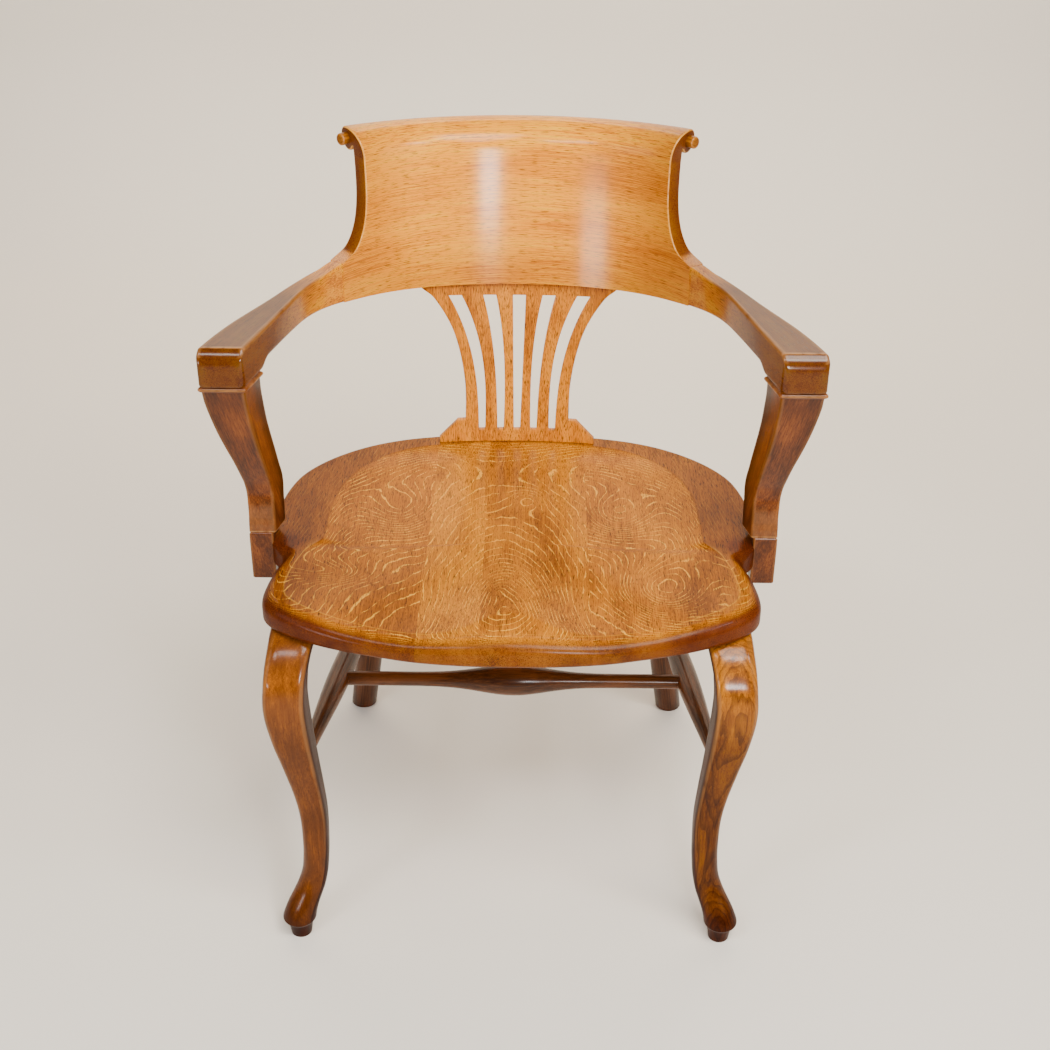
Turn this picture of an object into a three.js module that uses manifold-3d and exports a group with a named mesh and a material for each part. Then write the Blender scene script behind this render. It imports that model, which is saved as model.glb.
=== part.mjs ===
import * as THREE from 'three';
import { mergeVertices } from 'three/addons/utils/BufferGeometryUtils.js';
import Module from 'manifold-3d';

const wasm = await Module();
wasm.setup();

// Captain's chair in oak. Millimetres, +Z up, floor at z = 0, the sitter faces -Y.
// Left and right are as seen from in front, so left is -X.

// Clearances and overruns shared by every joint
const fit = {
  gap: 0.3,
  overrun: 6,
  through: 240,
  weld: 0.0001,
};

// Solid seat, edge-glued from four boards and dished
const seat = {
  top: 440,
  thickness: 32,
  centreY: -10,
  backY: 234,
  frontY: -237,
  cuspX: 273,
  cuspY: -41,
  notchX: 255,
  notchY: -63,
  bulgeX: 268,
  dishDepth: 13,
  rimCurve: 6,
  frontCurve: 2.3,
  thighDrop: 7,
  pommelRise: 5,
  pommelWidth: 48,
  edgeRoll: 5,
  edgeRollFront: 17,
  underRoll: 7,
  glueLines: [-98, -33, 85],
};

// Cabriole front legs
const frontLeg = {
  padInX: 22,
  padInY: 36,
  widths: {
    pad: 23,
    heel: 28,
    toe: 39,
    instep: 34,
    ankle: 30,
    calf: 30.5,
    shin: 32,
    thigh: 37,
    upper: 42.5,
    knee: 45.5,
    hip: 47,
    shoulder: 48.6,
    top: 50.6,
  },
  bend: 22,
  squareness: 7,
  tenonRadius: 11,
  tenonLength: 14,
};

// Turned and splayed rear legs
const rearLeg = {
  seatInX: 112,
  seatInY: 62,
  splayX: 56,
  splayY: 73,
  footRadius: 17.5,
  bodyRadius: 19,
  neckRadius: 14,
  tenonRadius: 12.5,
  tenonLength: 18,
};

// Turned stretchers that join the legs as an H
const stretcher = {
  frontHeight: 240,
  rearHeight: 208,
  sideEndRadius: 7.5,
  sideMiddleRadius: 14,
  sideCurve: 1.6,
  crossEndRadius: 8.7,
  crossMiddleRadius: 19,
  crossY: -6,
  tenonLength: 15,
  crossTenonLength: 9,
  straightEnd: 24,
};

// The bow: one plan curve that the back panel and both arms follow, on their inner face
const bow = {
  radius: 245,
  centreY: -10,
  wrapAngle: THREE.MathUtils.degToRad(76),
  leanAngle: THREE.MathUtils.degToRad(9),
  leanFadeStart: 200,
  leanFadeEnd: 300,
  jointAt: 229,
  endAt: 478,
  backDrop: 55,
  armDrop: 34,
  bottomRiseEnd: 380,
};

// Arms, one each side, doweled to the panel
const arm = {
  rise: 260,
  endDrop: 42,
  coveFar: 74,
  coveNear: 48,
  backWidth: 20,
  frontWidth: 46,
  widenStart: 275,
  widenNear: 6,
  frontRound: 10,
  arris: 2.5,
};

// Back panel with a crest that rolls backwards into a scroll
const panel = {
  thickness: 20,
  rise: 132,
  crestEndRise: 9,
  scrollHeight: 25,
  throatRise: 7,
  scrollDepth: 44,
  rollRadius: 27,
  jointLift: 3,
  liftRun: 25,
  endTurn: 0.14,
};

// Turned boss let into each end of the scroll
const boss = {
  radius: 7,
  length: 8,
  rimRound: 1.5,
  pegRadius: 3.5,
  pegLength: 12,
};

// Moulded collar between each arm and its support
const collar = {
  height: 7,
  proud: 4,
};

// Shaped arm supports, each with a foot block against the edge of the seat
const support = {
  frontInset: 5.2,
  outerInset: 1.65,
  topWidth: 45,
  topDepth: 40,
  waistWidth: 30,
  waistDepth: 30,
  waistSet: 1,
  lipRise: 12,
  blockDrop: 17,
  blockSink: 3,
  blockWidth: 27,
  blockDepth: 32,
  lipStep: 2,
  arris: 1.5,
};

// Pierced splat with five slots, tongued into the seat and the panel
const splat = {
  thickness: 8,
  baseHalf: 97,
  baseInset: 21.5,
  baseBow: 6,
  topHalf: 123,
  waistHalf: 64.5,
  shoulderHalf: 74,
  baseRise: 7,
  shoulderRise: 30,
  topEdge: 4,
  slotTops: [0, 36.5, 78.5],
  slotBottoms: [0, 20.7, 44],
  slotCurve: 2.7,
  slotTopWidth: 16,
  slotBottomWidth: 8,
  slotTopGap: 16.5,
  slotArch: 3.5,
  slotBottomRise: 16,
  lean: 2.7,
  tongue: 9,
  tongueThickness: 5,
  tongueInset: 12,
};

// Hidden fixings
const dowel = {
  armRadius: 4,
  armLength: 44,
  armSpacing: 19,
  postRadius: 4.75,
  postLength: 46,
  postSpacing: 20,
};
const screw = {
  shankRadius: 2.4,
  headRadius: 4.6,
  headHeight: 3,
  length: 44,
  tip: 7,
  tipRadius: 0.5,
  spacing: 16,
  sink: 8,
  plugRadius: 5,
};

// Heights that follow from the sizes
const underside = seat.top - seat.thickness;
const armLevel = seat.top + arm.rise;
const backLow = armLevel - bow.backDrop;
const armLow = armLevel - bow.armDrop;
const armEndLow = armLevel - arm.endDrop;
const collarLow = armEndLow - collar.height;
const crest = armLevel + panel.rise;
const lip = seat.top + support.lipRise;

// Faces of the foot block, as distances from the chair's middle
const blockInner = seat.cuspX - support.blockSink;
const blockOuter = blockInner + support.blockWidth;

const oak = {
  golden: { color: 0xb8742a, roughness: 0.32 },
  seat: { color: 0xb06a24, roughness: 0.34 },
  arm: { color: 0x8f5524, roughness: 0.36 },
  leg: { color: 0x9a5a20, roughness: 0.36 },
  dark: { color: 0x4f2a16, roughness: 0.4 },
};
const pale = { color: 0xc9a26b, roughness: 0.7 };
const steel = { color: 0x8d8a84, roughness: 0.45, metalness: 0.9 };

// Smooth step from 0 to 1 as value runs from start to end
function ease(value, start, end) {
  return THREE.MathUtils.smoothstep(value, start, end);
}

// Value of a smooth curve through [place, value] pairs in rising order of place
function along(pairs, place) {
  const last = pairs.length - 1;
  if (place <= pairs[0][0]) return pairs[0][1];
  if (place >= pairs[last][0]) return pairs[last][1];
  const i = pairs.findIndex((pair) => pair[0] >= place) - 1;
  const slope = (k) => {
    const a = pairs[Math.max(k - 1, 0)];
    const b = pairs[Math.min(k + 1, last)];
    return (b[1] - a[1]) / (b[0] - a[0]);
  };
  const [x0, y0] = pairs[i];
  const [x1, y1] = pairs[i + 1];
  const span = x1 - x0;
  const t = (place - x0) / span;
  const t2 = t * t;
  const t3 = t2 * t;
  const start = (2 * t3 - 3 * t2 + 1) * y0 + (t3 - 2 * t2 + t) * span * slope(i);
  const end = (3 * t2 - 2 * t3) * y1 + (t3 - t2) * span * slope(i + 1);
  return start + end;
}

// Geometry from points and triangles, with its faces turned outwards
function solidFrom(points, triangles) {
  let volume = 0;
  for (const [a, b, c] of triangles) {
    volume += points[a].dot(new THREE.Vector3().crossVectors(points[b], points[c]));
  }
  const index = triangles.flatMap(([a, b, c]) => (volume > 0 ? [a, b, c] : [a, c, b]));
  const geometry = new THREE.BufferGeometry();
  geometry.setAttribute('position', new THREE.Float32BufferAttribute(points.flatMap((p) => p.toArray()), 3));
  geometry.setIndex(index);
  geometry.computeVertexNormals();
  return geometry;
}

// Triangles of the walls between neighbouring rings of points
function ringWalls(ringCount, count) {
  const triangles = [];
  for (let r = 0; r + 1 < ringCount; r += 1) {
    for (let k = 0; k < count; k += 1) {
      const a = r * count + k;
      const b = r * count + (k + 1) % count;
      triangles.push([a, b, b + count], [a, b + count, a + count]);
    }
  }
  return triangles;
}

// Closed solid through rings that hold the same number of points, with a fan on each end
function loft(rings) {
  const count = rings[0].length;
  const points = rings.flat();
  const triangles = ringWalls(rings.length, count);
  const ends = [[0, rings[0]], [(rings.length - 1) * count, rings[rings.length - 1]]];
  ends.forEach(([base, ring], side) => {
    const hub = points.push(centroid(ring)) - 1;
    for (let k = 0; k < count; k += 1) {
      const a = base + k;
      const b = base + (k + 1) % count;
      triangles.push(side === 0 ? [hub, b, a] : [hub, a, b]);
    }
  });
  return solidFrom(points, triangles);
}

function centroid(ring) {
  const middle = new THREE.Vector3();
  ring.forEach((p) => middle.addScaledVector(p, 1 / ring.length));
  return middle;
}

function toManifold(geometry) {
  const bare = geometry.clone();
  bare.deleteAttribute('normal');
  bare.deleteAttribute('uv');
  const merged = mergeVertices(bare, fit.weld);
  return new wasm.Manifold(new wasm.Mesh({
    numProp: 3,
    vertProperties: new Float32Array(merged.attributes.position.array),
    triVerts: new Uint32Array(merged.index.array),
  }));
}

function fromManifold(solid) {
  const mesh = solid.getMesh();
  const geometry = new THREE.BufferGeometry();
  geometry.setAttribute('position', new THREE.Float32BufferAttribute(mesh.vertProperties, 3));
  geometry.setIndex(Array.from(mesh.triVerts));
  geometry.computeVertexNormals();
  return geometry;
}

function cut(geometry, ...cutters) {
  let solid = toManifold(geometry);
  for (const cutter of cutters) solid = solid.subtract(toManifold(cutter));
  return fromManifold(solid);
}

function joined(geometry, ...others) {
  let solid = toManifold(geometry);
  for (const other of others) solid = solid.add(toManifold(other));
  return fromManifold(solid);
}

function common(geometry, other) {
  return fromManifold(toManifold(geometry).intersect(toManifold(other)));
}

function boxBetween(low, high) {
  const box = new THREE.BoxGeometry(high.x - low.x, high.y - low.y, high.z - low.z);
  return box.translate((low.x + high.x) / 2, (low.y + high.y) / 2, (low.z + high.z) / 2);
}

// The same solid on the other side of the chair
function mirrored(geometry) {
  const other = geometry.index ? geometry.clone() : mergeVertices(geometry);
  other.scale(-1, 1, 1);
  const index = other.index.array;
  for (let i = 0; i < index.length; i += 3) [index[i], index[i + 1]] = [index[i + 1], index[i]];
  other.computeVertexNormals();
  return other;
}

// Cutters on one side together with their like on the other side
function twice(cutters) {
  return cutters.flatMap((cutter) => [cutter, mirrored(cutter)]);
}

// Turned solid: radii are [distance along the axis, radius], from a point towards another
function turned(radii, from, to, segments) {
  const last = radii.length - 1;
  const profile = [
    new THREE.Vector2(0, radii[0][0]),
    ...radii.map(([place, radius]) => new THREE.Vector2(radius, place)),
    new THREE.Vector2(0, radii[last][0]),
  ];
  const geometry = new THREE.LatheGeometry(profile, segments);
  const axis = new THREE.Vector3().subVectors(to, from).normalize();
  geometry.applyQuaternion(new THREE.Quaternion().setFromUnitVectors(new THREE.Vector3(0, 1, 0), axis));
  return geometry.translate(from.x, from.y, from.z);
}

// Straight round bar between two points, used for pegs and for the holes that take them
function bar(from, to, radius, segments = 16) {
  return turned([[0, radius], [from.distanceTo(to), radius]], from, to, segments);
}

// A point moved along a line by a distance
function moved(point, direction, distance) {
  return point.clone().addScaledVector(direction, distance);
}

// Plan of the bow at a distance along its inner face from the middle of the back.
// Positive distances run down the left arm, negative ones down the right arm.
function bowFrame(distance) {
  const side = distance < 0 ? 1 : -1;
  const length = Math.abs(distance);
  const angle = Math.min(length / bow.radius, bow.wrapAngle);
  const straight = Math.max(length - bow.radius * bow.wrapAngle, 0);
  const tangent = new THREE.Vector3(side * Math.cos(angle), -Math.sin(angle), 0);
  const outward = new THREE.Vector3(side * Math.sin(angle), Math.cos(angle), 0);
  const point = new THREE.Vector3(0, bow.centreY, 0).addScaledVector(outward, bow.radius);
  point.addScaledVector(tangent, straight);
  return { point, tangent, outward };
}

// A place in the bow: distance along it, depth behind its inner face, and height
function bowPlace(distance, depth, height) {
  const { point, outward } = bowFrame(distance);
  const hold = 1 - ease(Math.abs(distance), bow.leanFadeStart, bow.leanFadeEnd);
  const back = Math.tan(bow.leanAngle) * (height - armLevel) * hold;
  return new THREE.Vector3(0, back, height).add(point).addScaledVector(outward, depth);
}

function bowBottom(distance) {
  return THREE.MathUtils.lerp(backLow, armLow, ease(Math.abs(distance), 0, bow.bottomRiseEnd));
}

// Seat outline, left half from the back round to the front, as shares of the sizes named beside them
const rearOutlineShares = [
  [0, 1], [0.18, 0.989], [0.366, 0.951], [0.514, 0.911], [0.649, 0.846], [0.771, 0.752], [0.875, 0.632],
  [0.948, 0.5], [0.988, 0.348], [1.005, 0.206], [1.007, 0.1],
];
const frontOutlineShares = [
  [0.985, 0.42], [1, 0.6], [0.982, 0.684], [0.905, 0.766], [0.775, 0.842], [0.67, 0.886], [0.508, 0.937],
  [0.369, 0.972], [0.18, 0.995], [0, 1],
];
// Inner edge of the rim as shares of the outline, by share of the way round the back
const dishShares = [[0, 0.893], [0.25, 0.9], [0.42, 0.866], [0.6, 0.81], [0.8, 0.785], [1, 0.79]];
const frontDishShare = 0.93;

function seatOutline() {
  const rear = rearOutlineShares.map(([x, y]) => new THREE.Vector3(-x * seat.cuspX, y * seat.backY, 0));
  rear.push(new THREE.Vector3(-seat.cuspX, seat.cuspY, 0));
  const front = frontOutlineShares.map(([x, y]) => new THREE.Vector3(-x * seat.bulgeX, y * seat.frontY, 0));
  front.unshift(new THREE.Vector3(-seat.notchX, seat.notchY, 0));
  const rearCount = 18;
  const frontCount = 16;
  const half = [
    ...new THREE.CatmullRomCurve3(rear).getPoints(rearCount)
      .map((p, i) => ({ p, dish: along(dishShares, i / rearCount), rear: 1 })),
    ...new THREE.CatmullRomCurve3(front).getPoints(frontCount)
      .map((p) => ({ p, dish: frontDishShare, rear: 0 })),
  ];
  const other = half.slice(1, -1).reverse()
    .map((edge) => ({ ...edge, p: new THREE.Vector3(-edge.p.x, edge.p.y, 0) }));
  return [...half, ...other];
}

// The ridge in the middle of the front starts and is full at these shares of the way to the front
const pommelStartShare = 0.1;
const pommelFullShare = 0.8;

// Height of the seat's top at a share of the way from its middle to the inner edge of the rim
function seatHeight(edge, share, point) {
  const curve = edge.rear ? seat.rimCurve : seat.frontCurve;
  const thigh = (1 - Math.cos(2 * Math.PI * Math.abs(edge.p.x) / seat.bulgeX)) / 2;
  const drop = edge.rear ? 0 : seat.thighDrop * thigh;
  const forward = ease(point.y / seat.frontY, pommelStartShare, pommelFullShare);
  const ridge = Math.exp(-((point.x / seat.pommelWidth) ** 2)) * forward;
  const hollow = seat.dishDepth * (1 - share ** curve);
  return seat.top - hollow - drop * share ** 2 + Math.min(seat.pommelRise * ridge, hollow);
}

// Rings of the seat's top, as shares of the way to the rim, and how much lower than wide its edge is rounded
const dishRingShares = [0.25, 0.5, 0.72, 0.88, 1];
const edgeDropShare = 0.8;

function seatBlank() {
  const centre = new THREE.Vector3(0, seat.centreY, 0);
  const outline = seatOutline();
  const at = (edge, share, height) => {
    const point = centre.clone().lerp(edge.p, share);
    point.z = height === undefined ? seatHeight(edge, Math.min(share / edge.dish, 1), point) : height;
    return point;
  };
  const reach = (edge) => edge.p.distanceTo(centre);
  const roll = (edge) => (edge.rear ? seat.edgeRoll : seat.edgeRollFront);
  const rings = dishRingShares.map((share) => outline.map((edge) => at(edge, share * edge.dish)));
  for (const turn of [0, 1, 2, 3]) {
    const angle = turn * Math.PI / 6;
    rings.push(outline.map((edge) => {
      const point = at(edge, 1 - roll(edge) * (1 - Math.sin(angle)) / reach(edge));
      point.z -= roll(edge) * edgeDropShare * (1 - Math.cos(angle));
      return point;
    }));
  }
  rings.push(outline.map((edge) => at(edge, 1, underside + seat.underRoll)));
  rings.push(outline.map((edge) => at(edge, 1 - seat.underRoll / reach(edge), underside)));
  return loft(rings);
}

// Cabriole leg from the floor up: share of its height, width, roundness, set in along X and along Y
const frontLegShares = [
  [0, 'pad', 1, 0, 0], [0.042, 'heel', 1, 0, 0], [0.06, 'toe', 1, -0.03, -0.03],
  [0.08, 'toe', 1, 0, 0], [0.103, 'toe', 1, 0.19, 0.19], [0.13, 'instep', 1, 0.45, 0.45],
  [0.155, 'instep', 1, 0.64, 0.64], [0.196, 'ankle', 1, 0.84, 0.84], [0.245, 'ankle', 0.95, 0.94, 0.94],
  [0.294, 'ankle', 0.85, 0.99, 0.99], [0.395, 'calf', 0.6, 1, 1], [0.483, 'shin', 0.45, 0.87, 0.87],
  [0.6, 'thigh', 0.35, 0.6, 0.6], [0.706, 'upper', 0.3, 0.35, 0.35], [0.82, 'knee', 0.22, 0.19, 0.19],
  [0.89, 'knee', 0.3, 0.26, 0.38], [0.93, 'hip', 0.42, 0.36, 0.8], [0.966, 'shoulder', 0.55, 0.5, 1.35],
  [0.99, 'top', 0.68, 0.62, 1.9], [1, 'top', 0.75, 0.66, 2.25],
];

function frontLegRing(height, width, roundness, centre) {
  const power = 2 / THREE.MathUtils.lerp(frontLeg.squareness, 2, roundness);
  const count = 16;
  return Array.from({ length: count }, (_, k) => {
    const angle = (k + 0.5) / count * 2 * Math.PI;
    const x = Math.sign(Math.cos(angle)) * Math.abs(Math.cos(angle)) ** power;
    const y = Math.sign(Math.sin(angle)) * Math.abs(Math.sin(angle)) ** power;
    return new THREE.Vector3(centre.x + x * width / 2, centre.y + y * width / 2, height);
  });
}

// Centre of the cabriole leg at a height
function frontLegCentre(height) {
  const share = height / underside;
  const inX = along(frontLegShares.map((row) => [row[0], row[3]]), share) * frontLeg.bend;
  const inY = along(frontLegShares.map((row) => [row[0], row[4]]), share) * frontLeg.bend;
  return new THREE.Vector3(frontLeg.padInX - seat.bulgeX + inX, seat.frontY + frontLeg.padInY + inY, height);
}

function frontLegSolid() {
  const { widths, tenonRadius, tenonLength } = frontLeg;
  const rings = frontLegShares.map(([share, part, roundness]) => {
    const height = share * underside;
    return frontLegRing(height, widths[part], roundness, frontLegCentre(height));
  });
  const top = frontLegCentre(underside);
  rings.push(frontLegRing(underside, 2 * tenonRadius, 1, top));
  rings.push(frontLegRing(underside + tenonLength, 2 * tenonRadius, 1, top));
  return loft(rings);
}

const rearLegTop = new THREE.Vector3(rearLeg.seatInX - seat.cuspX, seat.backY - rearLeg.seatInY, underside);
const rearLegFoot = new THREE.Vector3(rearLegTop.x - rearLeg.splayX, rearLegTop.y + rearLeg.splayY, 0);
const rearLegAxis = new THREE.Vector3().subVectors(rearLegTop, rearLegFoot).normalize();

// Shares of the rear leg's length: where it is thickest, where its tenon begins, and its turned stations
const rearSwellShares = [0.5, 0.75];
const rearNeckShare = 0.97;
const rearStationShares = [0, 0.2, 0.35, 0.5, 0.65, 0.8, 0.9, rearNeckShare];

// Radius of the rear leg at a share of its length
function rearLegRadius(share) {
  const { footRadius, bodyRadius, neckRadius } = rearLeg;
  const swell = rearSwellShares.map((place) => [place, bodyRadius]);
  return along([[0, footRadius], ...swell, [1, neckRadius]], share);
}

function rearLegSolid() {
  const length = rearLegFoot.distanceTo(rearLegTop);
  const start = moved(rearLegFoot, rearLegAxis, -fit.overrun);
  const radii = rearStationShares.map((share) => [
    share * length + fit.overrun * (share > 0 ? 1 : 0),
    rearLegRadius(share),
  ]);
  radii.push([length + fit.overrun + rearLeg.tenonLength, rearLeg.tenonRadius]);
  const full = turned(radii, start, rearLegTop, 20);
  const low = new THREE.Vector3(rearLegFoot.x - length, rearLegFoot.y - length, 0);
  const high = new THREE.Vector3(rearLegFoot.x + length, rearLegFoot.y + length, 2 * length);
  return common(full, boxBetween(low, high));
}

// Axes of the stretchers
const sideFront = frontLegCentre(stretcher.frontHeight);
const sideRear = rearLegFoot.clone().lerp(rearLegTop, stretcher.rearHeight / underside);
const sideAxis = new THREE.Vector3().subVectors(sideRear, sideFront).normalize();
const crossShare = (stretcher.crossY - sideFront.y) / (sideRear.y - sideFront.y);
const crossEnd = sideFront.clone().lerp(sideRear, crossShare);

// Ends of the side stretcher inside the legs, and of the cross stretcher inside the side ones
const sideStart = moved(sideFront, sideAxis, frontLeg.widths.ankle / 2 - stretcher.tenonLength);
const rearLegDepth = rearLegRadius(stretcher.rearHeight / underside);
const sideEnd = moved(sideRear, sideAxis, stretcher.tenonLength - rearLegDepth);
const crossStart = crossEnd.clone().setX(crossEnd.x + stretcher.sideMiddleRadius - stretcher.crossTenonLength);

// Stations of the stretchers between their straight ends, and how far the cross one's bulge spreads
const sideSwellShares = [0, 0.12, 0.25, 0.38, 0.5, 0.62, 0.75, 0.88, 1];
const crossSwellShares = [0, 0.2, 0.32, 0.4, 0.45, 0.5, 0.55, 0.6, 0.68, 0.8, 1];
const crossBulgeShare = 0.15;

// Turned stretcher whose straight ends are its tenons, swelling between them
function stretcherSolid(start, end, endRadius, middleRadius, shares, swell) {
  const length = start.distanceTo(end);
  const radii = shares.map((share) => [
    THREE.MathUtils.lerp(stretcher.straightEnd, length - stretcher.straightEnd, share),
    THREE.MathUtils.lerp(endRadius, middleRadius, swell(share)),
  ]);
  return turned([[0, endRadius], ...radii, [length, endRadius]], start, end, 16);
}

function sideStretcherSolid() {
  const swell = (share) => Math.abs(Math.sin(share * Math.PI)) ** stretcher.sideCurve;
  const { sideEndRadius, sideMiddleRadius } = stretcher;
  return stretcherSolid(sideStart, sideEnd, sideEndRadius, sideMiddleRadius, sideSwellShares, swell);
}

// The cross stretcher swells only near its middle
function crossStretcherSolid() {
  const swell = (share) => Math.exp(-(((2 * share - 1) / (2 * crossBulgeShare)) ** 2));
  const { crossEndRadius, crossMiddleRadius } = stretcher;
  const end = crossStart.clone().setX(-crossStart.x);
  return stretcherSolid(crossStart, end, crossEndRadius, crossMiddleRadius, crossSwellShares, swell);
}

// Underside of the arm's front end, which drops through a small cove to the collar
function armBottom(distance) {
  const cove = ease(distance, bow.endAt - arm.coveFar, bow.endAt - arm.coveNear) ** 2;
  return THREE.MathUtils.lerp(bowBottom(distance), armEndLow, cove);
}

function armWidth(distance) {
  const wide = ease(distance, arm.widenStart, bow.endAt - arm.widenNear);
  return THREE.MathUtils.lerp(arm.backWidth, arm.frontWidth, wide);
}

function armSolid() {
  const count = 22;
  const stations = Array.from({ length: count }, (_, i) => (
    THREE.MathUtils.lerp(bow.jointAt, bow.endAt - arm.frontRound, i / (count - 1))
  ));
  const rings = stations.map((place) => armRing(place, 0));
  for (const turn of [1, 2, 3]) {
    const angle = turn * Math.PI / 6;
    const place = bow.endAt - arm.frontRound * (1 - Math.sin(angle));
    rings.push(armRing(place, arm.frontRound * (1 - Math.cos(angle))));
  }
  return loft(rings);
}

// Section of the arm; its front face is square to the chair, so the last sections lean forwards outside
function armRing(place, lowered) {
  const width = armWidth(place);
  const top = armTop(place) - lowered;
  const low = armBottom(place);
  const edge = arm.arris;
  const turn = Math.PI / 2 - bow.wrapAngle;
  const skew = Math.tan(turn) * ease(place, bow.endAt - arm.coveFar, bow.endAt - arm.frontRound);
  const corners = [
    [0, low + edge], [edge, low], [width - edge, low], [width, low + edge],
    [width, top - edge], [width - edge, top], [edge, top], [0, top - edge],
  ];
  return corners.map(([depth, height]) => {
    const point = bowPlace(place, depth, height);
    return point.addScaledVector(bowFrame(place).tangent, skew * depth);
  });
}

// The arm's top starts to climb just before the joint with the panel
function armTop(place) {
  return armLevel + panel.jointLift * (1 - ease(place, bow.jointAt, bow.jointAt + panel.liftRun));
}

// Side edge of the panel: distance along the bow, by share of the height between arm and crest
const sideShares = [
  [0, 1], [0.045, 0.93], [0.09, 0.895], [0.18, 0.862], [0.3, 0.84], [0.45, 0.83], [0.6, 0.83], [0.8, 0.836],
  [1, 0.85],
];

function panelSide(height) {
  const share = (height - armLevel - panel.jointLift) / (panel.rise - panel.jointLift);
  return bow.jointAt * along(sideShares, share);
}

// Height of a row of the panel, bent up at its ends as the leaning curve is
function panelHeight(height, distance) {
  const up = Math.max((height - armLevel) / panel.rise, 0);
  return height + up * panel.crestEndRise * (distance / panelSide(crest)) ** 2;
}

// Profile of the scroll as [depth, drop below the crest]
function scrollProfile() {
  const { scrollDepth, scrollHeight, throatRise, rollRadius, thickness } = panel;
  const eye = scrollHeight / 2;
  const outer = [0, 1, 2, 3, 4].map((k) => {
    const angle = k * Math.PI / 8;
    return [rollRadius * (1 - Math.cos(angle)), rollRadius * (1 - Math.sin(angle))];
  });
  const back = [1, 2, 3, 4, 5].map((k) => {
    const angle = k * Math.PI / 5;
    return [scrollDepth - eye + eye * Math.sin(angle), eye - eye * Math.cos(angle)];
  });
  return [...outer, ...back, [thickness, scrollHeight - throatRise]];
}

// Rows of the panel between the arms and the start of the roll
const panelRowShares = [0, 0.03, 0.08, 0.16, 0.28, 0.45, 0.7];

function panelSolid() {
  const columns = 25;
  const joint = armLevel + panel.jointLift;
  const rollStart = crest - panel.rollRadius;
  const rows = panelRowShares.map((share) => THREE.MathUtils.lerp(joint, rollStart, share));
  const scroll = scrollProfile().map(([depth, drop]) => ({ depth, height: crest - drop }));
  const front = [backLow, ...rows].map((height) => ({ depth: 0, height }));
  const back = [backLow, ...rows].map((height) => ({ depth: panel.thickness, height })).reverse();
  const profile = [...front, ...scroll, ...back];
  const rings = Array.from({ length: columns }, (_, i) => {
    const share = 1 - 2 * i / (columns - 1);
    return profile.map(({ depth, height }) => {
      const turn = panel.endTurn * Math.max(depth - panel.thickness, 0);
      const distance = share * (panelSide(height) - turn);
      const low = height === backLow;
      return bowPlace(distance, depth, low ? bowBottom(distance) : panelHeight(height, distance));
    });
  });
  return loftCapped(rings, endTriangles(profile, front.length));
}

// Triangles that fill the end of the panel: strips between its faces, then the scroll
function endTriangles(profile, rows) {
  const last = profile.length - 1;
  const strips = Array.from({ length: rows - 1 }, (_, k) => (
    [[k, k + 1, last - k - 1], [k, last - k - 1, last - k]]
  )).flat();
  const base = rows - 1;
  const outline = profile.slice(base, last - base + 1).map((p) => new THREE.Vector2(p.depth, p.height));
  const sense = Math.sign(THREE.ShapeUtils.area(outline));
  const scroll = THREE.ShapeUtils.triangulateShape(outline, []).map(([a, b, c]) => {
    const same = Math.sign(THREE.ShapeUtils.area([outline[a], outline[b], outline[c]])) === sense;
    return (same ? [a, b, c] : [c, b, a]).map((k) => k + base);
  });
  return [...strips, ...scroll];
}

// Closed solid through rings whose ends are filled by the same list of triangles
function loftCapped(rings, fill) {
  const count = rings[0].length;
  const base = (rings.length - 1) * count;
  const triangles = ringWalls(rings.length, count);
  for (const [a, b, c] of fill) triangles.push([c, b, a], [base + a, base + b, base + c]);
  return solidFrom(rings.flat(), triangles);
}

// Centre of the scroll's end, its direction out of the panel, and the place along the bow
function scrollEye() {
  const eye = panel.scrollHeight / 2;
  const distance = panelSide(crest - eye);
  const height = panelHeight(crest - eye, distance);
  const place = bowPlace(distance, panel.scrollDepth - eye, height);
  return { place, out: bowFrame(distance).tangent };
}

function bossSolid() {
  const { place, out } = scrollEye();
  const { radius, length, rimRound, pegRadius, pegLength } = boss;
  const start = moved(place, out, -pegLength);
  const face = pegLength + fit.gap;
  return turned([
    [0, pegRadius],
    [face, pegRadius],
    [face, radius],
    [face + length - rimRound, radius],
    [face + length - rimRound * (1 - Math.SQRT1_2), radius - rimRound * (1 - Math.SQRT1_2)],
    [face + length, radius - rimRound],
  ], start, place, 16);
}

// Middle of the splat's thickness at a place across the chair and a height; the head follows the panel
function splatMiddle(x, height) {
  const low = seat.backY - splat.baseInset - splat.baseBow * (x / splat.baseHalf) ** 2;
  const radius = bow.radius + panel.thickness / 2;
  const high = bowPlace(0, panel.thickness / 2, backLow).y - radius + Math.sqrt(radius ** 2 - x ** 2);
  return THREE.MathUtils.mapLinear(height, seat.top, backLow, low, high);
}

// Slab bent to the curve of the back, between two heights that may change across the chair
function bentSlab(half, thickness, lowAt, highAt) {
  const count = 7;
  const places = Array.from({ length: 2 * count - 1 }, (_, i) => ((i + 1) / count - 1) * splat.topHalf);
  const inner = places.filter((x) => Math.abs(x) < half);
  return loft([-half, ...inner, half].map((x) => [
    [-1, lowAt(x)], [1, lowAt(x)], [1, highAt(x)], [-1, highAt(x)],
  ].map(([side, height]) => new THREE.Vector3(x, splatMiddle(x, height) + side * thickness / 2, height))));
}

// The splat's head stands a little to the right of its foot
function leant(geometry) {
  const position = geometry.attributes.position;
  for (let i = 0; i < position.count; i += 1) {
    const share = THREE.MathUtils.inverseLerp(seat.top, backLow, position.getZ(i));
    position.setX(i, position.getX(i) + splat.lean * share);
  }
  geometry.computeVertexNormals();
  return geometry;
}

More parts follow.
